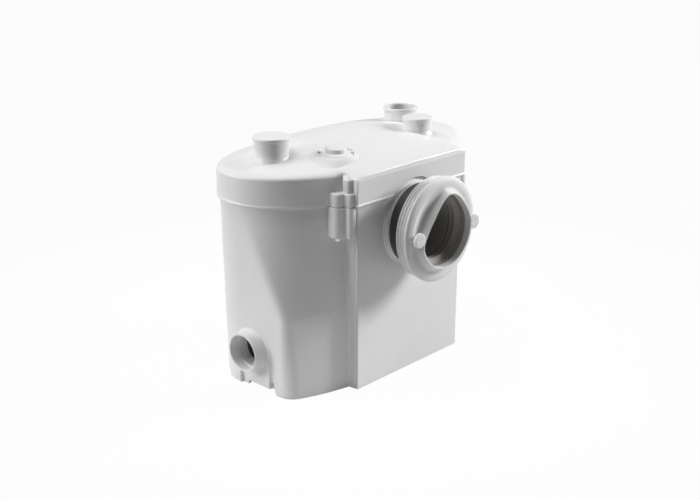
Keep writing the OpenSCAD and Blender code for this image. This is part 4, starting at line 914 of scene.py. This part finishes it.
def pull_lug(name, centre):
    """Pull lug: a disc with rounded rims, and two shallow grooves that cross on its front.

    Rows are (share of the radius, distance from the face) and run over the back, the rim and the front."""
    radius, groove_half, groove_deep = 8.3, 0.6, 0.45
    rows = np.array([[0.05, 49.1], [0.5, 49.0], [0.88, 49.0], [0.97, 49.3], [1.0, 50.0], [1.0, 52.3],
                     [0.97, 52.9], [0.88, 53.2], [0.7, 53.3], [0.5, 53.3], [0.3, 53.3], [0.1, 53.3]])
    share, depth = rows[:, :1], rows[:, 1:]
    t = full_turn(96)
    x, z = radius * share * np.cos(t), radius * share * np.sin(t)
    lines = np.exp(-(z / groove_half) ** 2) + 0.6 * np.exp(-(x / groove_half) ** 2)
    depth = depth - groove_deep * (depth > 52.5) * np.minimum(lines, 1.0)
    shell(name, as_grid(centre + x, FACE - depth, INLET_Z + z), "unit", "white_rubber", ring=False)


def clip():
    """Clip band with turned-up edges, and below it its worm screw's housing and the band's loose tail."""
    inner = 45.35
    low, high = inner + 0.9, inner + 1.5
    band = rounded([(inner, 7.5), (inner, 18.5), (high, 18.5), (high, 17.3), (low, 16.9), (low, 9.1),
                    (high, 8.7), (high, 7.5)], 0.4, 3)
    piece = shell("clip_band", turned_inlet(band), "unit", "dark_clip")
    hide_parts("wc_clip_band")
    z = INLET_Z - inner - 5.0
    housing = bar((-7.5, FACE - 18.5, z - 4.2), (7.5, FACE - 7.5, z + 4.2), 1.6, 72)
    shell("clip_housing", housing, "unit", "dark_clip", ring=False)
    tail = bar((-18.0, FACE - 17.0, z + 1.2), (-6.0, FACE - 9.0, z + 2.6), 0.5, 48)
    shell("clip_tail", tail, "unit", "dark_clip", ring=False)


def side_spigot():
    """Side inlet: turned wall with a rounded rim outside, and a root that flares into the tank's side."""
    radius, bore = 22.6, 20.5
    q = np.radians(np.linspace(90, 0, 12))
    root = np.stack([radius + 7.6 * (1 - np.sin(q)), 164.3 + 9.0 * (1 - np.cos(q))], -1)[::-1]
    outside = np.concatenate([[(30.2, 163.0)], root, [(radius, 178.8)]])
    rim = [(22.3, 179.6), (21.8, 180.0), (21.2, 180.0), (20.7, 179.7), (bore, 179.0)]
    inside = [(bore, 172.0), (bore, 162.0), (bore, 157.2), (21.4, 157.0), (24.0, 160.2)]
    shell("side_inlet_spigot", turned_side(np.concatenate([outside, rim, inside])))


# ---------------------------------------------------------------------------
# Top fittings
# ---------------------------------------------------------------------------
def stub(name, x, y, top, r):
    """An inlet stub on the lid: turned wall with a small flare where it leaves the dome."""
    low = dome_height(x, y)
    profile = [(r - 2.5, low - 7), (r + 1.0, low - 7), (r + 2.6, low - 4.0), (r + 0.8, low - 0.6),
               (r, low + 1.6), (r, top), (r - 2.5, top)]
    shell(name, turned_up(rounded(profile, [0.3, 0.3, 0.8, 1.6, 1.6, 0.9, 0.9]), x, y))


def blanking_cap(name, node, body, x, y, z, r, wall, rim, plate, lift):
    """A blanking cap over a stub of top z and radius r: straight skirt, proud rim, crowned top, hollow inside.

    wall is the skirt's, rim is how far the rim stands out, plate is the top plate's height, and lift is how far
    above the dome the skirt ends."""
    inner = r + 0.3
    outer = inner + wall
    low = dome_height(0.83 * x, 0.83 * y) + lift
    top = z + 0.3
    profile = rounded([(0.001, top), (inner, top), (inner, low), (outer - 0.3, low), (outer, top - 0.6),
                       (outer + rim, top - 0.1), (outer + rim, top + plate), (0.001, top + plate + 0.15)],
                      [0.0, 0.8, 0.4, 0.5, 0.3, 0.4, min(1.2, 0.6 * plate), 0.0])[4:-4]
    piece = shell(name, turned_up(profile, x, y), body, ring=False)
    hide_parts(node)


def vent_cap():
    """Vent cap: turned flange and knob; two finger notches bite into the flange's rim on one diagonal."""
    low, cols, bite_deep = VENT_LOW, 168, 3.4
    profile = rounded([(0.001, low - 6.0), (6.5, low - 6.0), (8.7, low - 6.0), (8.7, low), (19.3, low),
                       (19.3, low + 2.0), (12.2, low + 2.5), (11.6, low + 7.6), (0.001, low + 8.0)],
                      [0, 0.3, 0.5, 0.4, 0.3, 0.7, 0.7, 1.2, 0], 4)[5:-5]
    grid = turned_up(profile, *VENT, cols)
    off_diagonal = np.arccos(np.clip(np.abs(np.cos(full_turn(cols) - math.radians(-47.0))), 0, 1))
    bite = ease((0.155 - off_diagonal) / 0.04 + 0.5) * bite_deep
    r = np.asarray(profile)[:, :1]
    share = 1.0 - bite * ease((r - 13.0) / 3.0) / np.maximum(r, 1.0)
    centre = np.array(VENT)
    grid[..., :2] = centre + (grid[..., :2] - centre) * share[..., None]
    piece = shell("vent_cap_body", grid, "vent", ring=False)
    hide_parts("vent_cap")


def vent_seat():
    """Seat of the vent cap: a flat ring under the flange, and a swell of the dome that rises to meet its rim.

    The swell is the dome's height plus what is missing to the seat's height at the rim, faded out over its
    width."""
    low, rim, end = VENT_LOW, 20.6, 37.0
    ring = rounded([(9.2, low - 3.2), (rim, low - 3.2), (rim, low - 0.3), (9.2, low - 0.3)], 0.2)
    shell("vent_seat", turned_up(ring, *VENT))
    c, s = np.cos(full_turn(144)), np.sin(full_turn(144))
    r = np.concatenate([[19.9, 19.9, 20.1, rim], np.linspace(21.6, end, 18), [end, 19.9]])[:, None]
    drop = np.concatenate([[4.0, 0.5, 0.12, 0.0], np.zeros(18), [4.0, 8.0]])[:, None]
    x, y = VENT[0] + r * c, VENT[1] + r * s
    missing = np.maximum(low + 1.5 - dome_grid(VENT[0] + rim * c, VENT[1] + rim * s), -0.4)
    fade = 1.0 - ease((r - rim) / (end - rim))
    shell("vent_swell", as_grid(x, y, dome_grid(x, y) + (missing + 0.05) * fade - 0.05 - drop))


def discharge_socket():
    """Discharge socket: turned wall, and a flared rim with rounded edges round a counterbore."""
    profile = rounded([(16.0, 238.0), (20.2, 238.0), (20.2, 277.6), (21.4, 278.8), (21.4, 282.0),
                       (18.4, 282.0), (18.4, 246.0), (16.0, 246.0)], [0.3, 0.3, 0.8, 0.6, 1.1, 0.8, 0.6, 0.4])
    piece = shell("discharge_stub", turned_up(profile, *OUT))
    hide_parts("discharge_socket")


def gland_boss():
    """Boss behind the lid that carries the cable gland: a turned ring on the Y axis with rounded edges."""
    ring = [(GLAND_BORE, 86.0), (10.5, 86.0), (10.5, 96.0), (GLAND_BORE, 96.0)]
    shell("gland_seat", turned_back(rounded(ring, [0.3, 0.3, 1.0, 0.4]), 96))


def base_ribs():
    """Centre foot and the two thin ribs under the tank's floor."""
    top = FLOOR + 0.4
    foot = rounded([(0.001, top), (16.0, top), (16.0, 0.0), (0.001, 0.0)], [0, 0.4, 1.2, 0])[4:-4]
    shell("centre_foot", turned_up(foot, 0.0, 0.0), ring=False)
    shell("long_rib", bar((-140, -1.5, 0.6), (140, 1.5, top), 0.5), ring=False)
    shell("cross_rib", bar((-1.5, -86, 0.6), (1.5, 80, top), 0.5), ring=False)


tank_shell()
lid_shell()
bosses()
inlet_fittings()
connector()
connector_painted_shade_skin()
pull_lug("left_pull_lug", -MOUTH - 3.2)
pull_lug("right_pull_lug", MOUTH + 5.6)
clip()
side_spigot()
stub("left_stub", *LEFT)
stub("right_stub", *RIGHT)
blanking_cap("left_cap_body", "left_inlet_cap", "left_cap", *LEFT, 0.9, 1.7, 3.6, 6.0)
blanking_cap("right_cap_body", "right_inlet_cap", "right_cap", *RIGHT, 0.7, 0.5, 1.9, 8.0)
vent_cap()
vent_seat()
discharge_socket()
gland_boss()
base_ribs()


# ---------------------------------------------------------------------------
# Floor, lamps and camera
# ---------------------------------------------------------------------------
def floor_finish():
    """Pale floor: white to the camera and to reflections, with the object's own soft shadow. The paint that
    light bounces from darkens far away."""
    glow_share = 0.965
    material, tree, body = start("pale_floor")
    body.inputs["Roughness"].default_value = 0.9
    place = own_place(tree)
    near_paint = mix(tree, noise(tree, place, 3.0), (0.74, 0.74, 0.74), (0.78, 0.78, 0.78))
    far = tree.nodes.new("ShaderNodeVectorMath")
    far.operation = "LENGTH"
    tree.links.new(place, far.inputs[0])
    away = maths(tree, "MULTIPLY_ADD", far.outputs["Value"], 3.0, -0.85, True)
    tree.links.new(mix(tree, away, near_paint, (0.2, 0.2, 0.2)), body.inputs["Base Color"])
    glow = tree.nodes.new("ShaderNodeEmission")
    glow.inputs["Color"].default_value = (1, 1, 1, 1)
    light = tree.nodes.new("ShaderNodeLightPath")
    seen = maths(tree, "MAXIMUM", light.outputs["Is Camera Ray"], light.outputs["Is Glossy Ray"])
    seen = maths(tree, "MAXIMUM", seen, light.outputs["Is Transmission Ray"])
    blend = tree.nodes.new("ShaderNodeMixShader")
    tree.links.new(maths(tree, "MULTIPLY", seen, glow_share), blend.inputs[0])
    tree.links.new(body.outputs[0], blend.inputs[1])
    tree.links.new(glow.outputs[0], blend.inputs[2])
    tree.links.new(blend.outputs[0], tree.nodes["Material Output"].inputs["Surface"])
    return material


def floor():
    """A wide flat square just under the object."""
    half, z = 12000.0, -0.4
    points = np.array([(-half, -half, z), (half, -half, z), (half, half, z), (-half, half, z)]) * MM
    mesh = bpy.data.meshes.new("floor")
    mesh.from_pydata(points.tolist(), [], [(0, 1, 2, 3)])
    piece = bpy.data.objects.new("floor", mesh)
    bpy.context.scene.collection.objects.link(piece)
    piece.data.materials.append(floor_finish())


def lamp(name, place, aim, width, power):
    """A square soft lamp at a place, turned to its aim, in metres and watts."""
    light = bpy.data.lights.new(name, "AREA")
    light.shape = "SQUARE"
    light.size = width
    light.energy = power
    holder = bpy.data.objects.new(name, light)
    holder.location = place
    holder.rotation_euler = (Vector(aim) - Vector(place)).to_track_quat("-Z", "Y").to_euler()
    bpy.context.scene.collection.objects.link(holder)


def world():
    """White surroundings: full strength to the camera, weaker to reflections, dim as a light."""
    reflected, ambient = 0.35, 0.02
    sky = bpy.data.worlds.new("studio")
    bpy.context.scene.world = sky
    sky.use_nodes = True
    tree = sky.node_tree
    back = tree.nodes["Background"]
    back.inputs["Color"].default_value = (1, 1, 1, 1)
    light = tree.nodes.new("ShaderNodeLightPath")
    seen = maths(tree, "MAXIMUM", light.outputs["Is Camera Ray"], light.outputs["Is Transmission Ray"])
    glossy = maths(tree, "MULTIPLY", light.outputs["Is Glossy Ray"], reflected)
    level = maths(tree, "MAXIMUM", maths(tree, "MAXIMUM", seen, glossy), ambient)
    tree.links.new(level, back.inputs["Strength"])


def camera():
    """The photograph's camera: 19.1 degrees down, turned 46.7 degrees to the right of the Y axis."""
    yaw, pitch = 0.815, 0.334
    look = Vector((math.sin(yaw) * math.cos(pitch), math.cos(yaw) * math.cos(pitch), -math.sin(pitch)))
    data = bpy.data.cameras.new("photo_camera")
    data.sensor_width = 36.0
    # Focal length in pixels over the frame's width in pixels
    data.lens = data.sensor_width * 1094.3 / 700.0
    data.clip_start, data.clip_end = 0.05, 50.0
    holder = bpy.data.objects.new("photo_camera", data)
    holder.location = (-0.9111, -0.8578, 0.5572)
    holder.rotation_euler = look.to_track_quat("-Z", "Y").to_euler()
    bpy.context.scene.collection.objects.link(holder)
    bpy.context.scene.camera = holder


floor()
world()
lamp("left_lamp", (-1.5, 1.1, 0.75), (0.0, 0.0, 0.14), 0.8, 19.5)
lamp("right_lamp", (1.7, -1.1, 0.95), (0.0, -0.05, 0.14), 0.6, 46.0)
lamp("top_lamp", (-0.35, 0.25, 1.65), (0.0, 0.05, 0.2), 1.2, 18.5)
camera()

bpy.context.scene.view_settings.view_transform = "Standard"
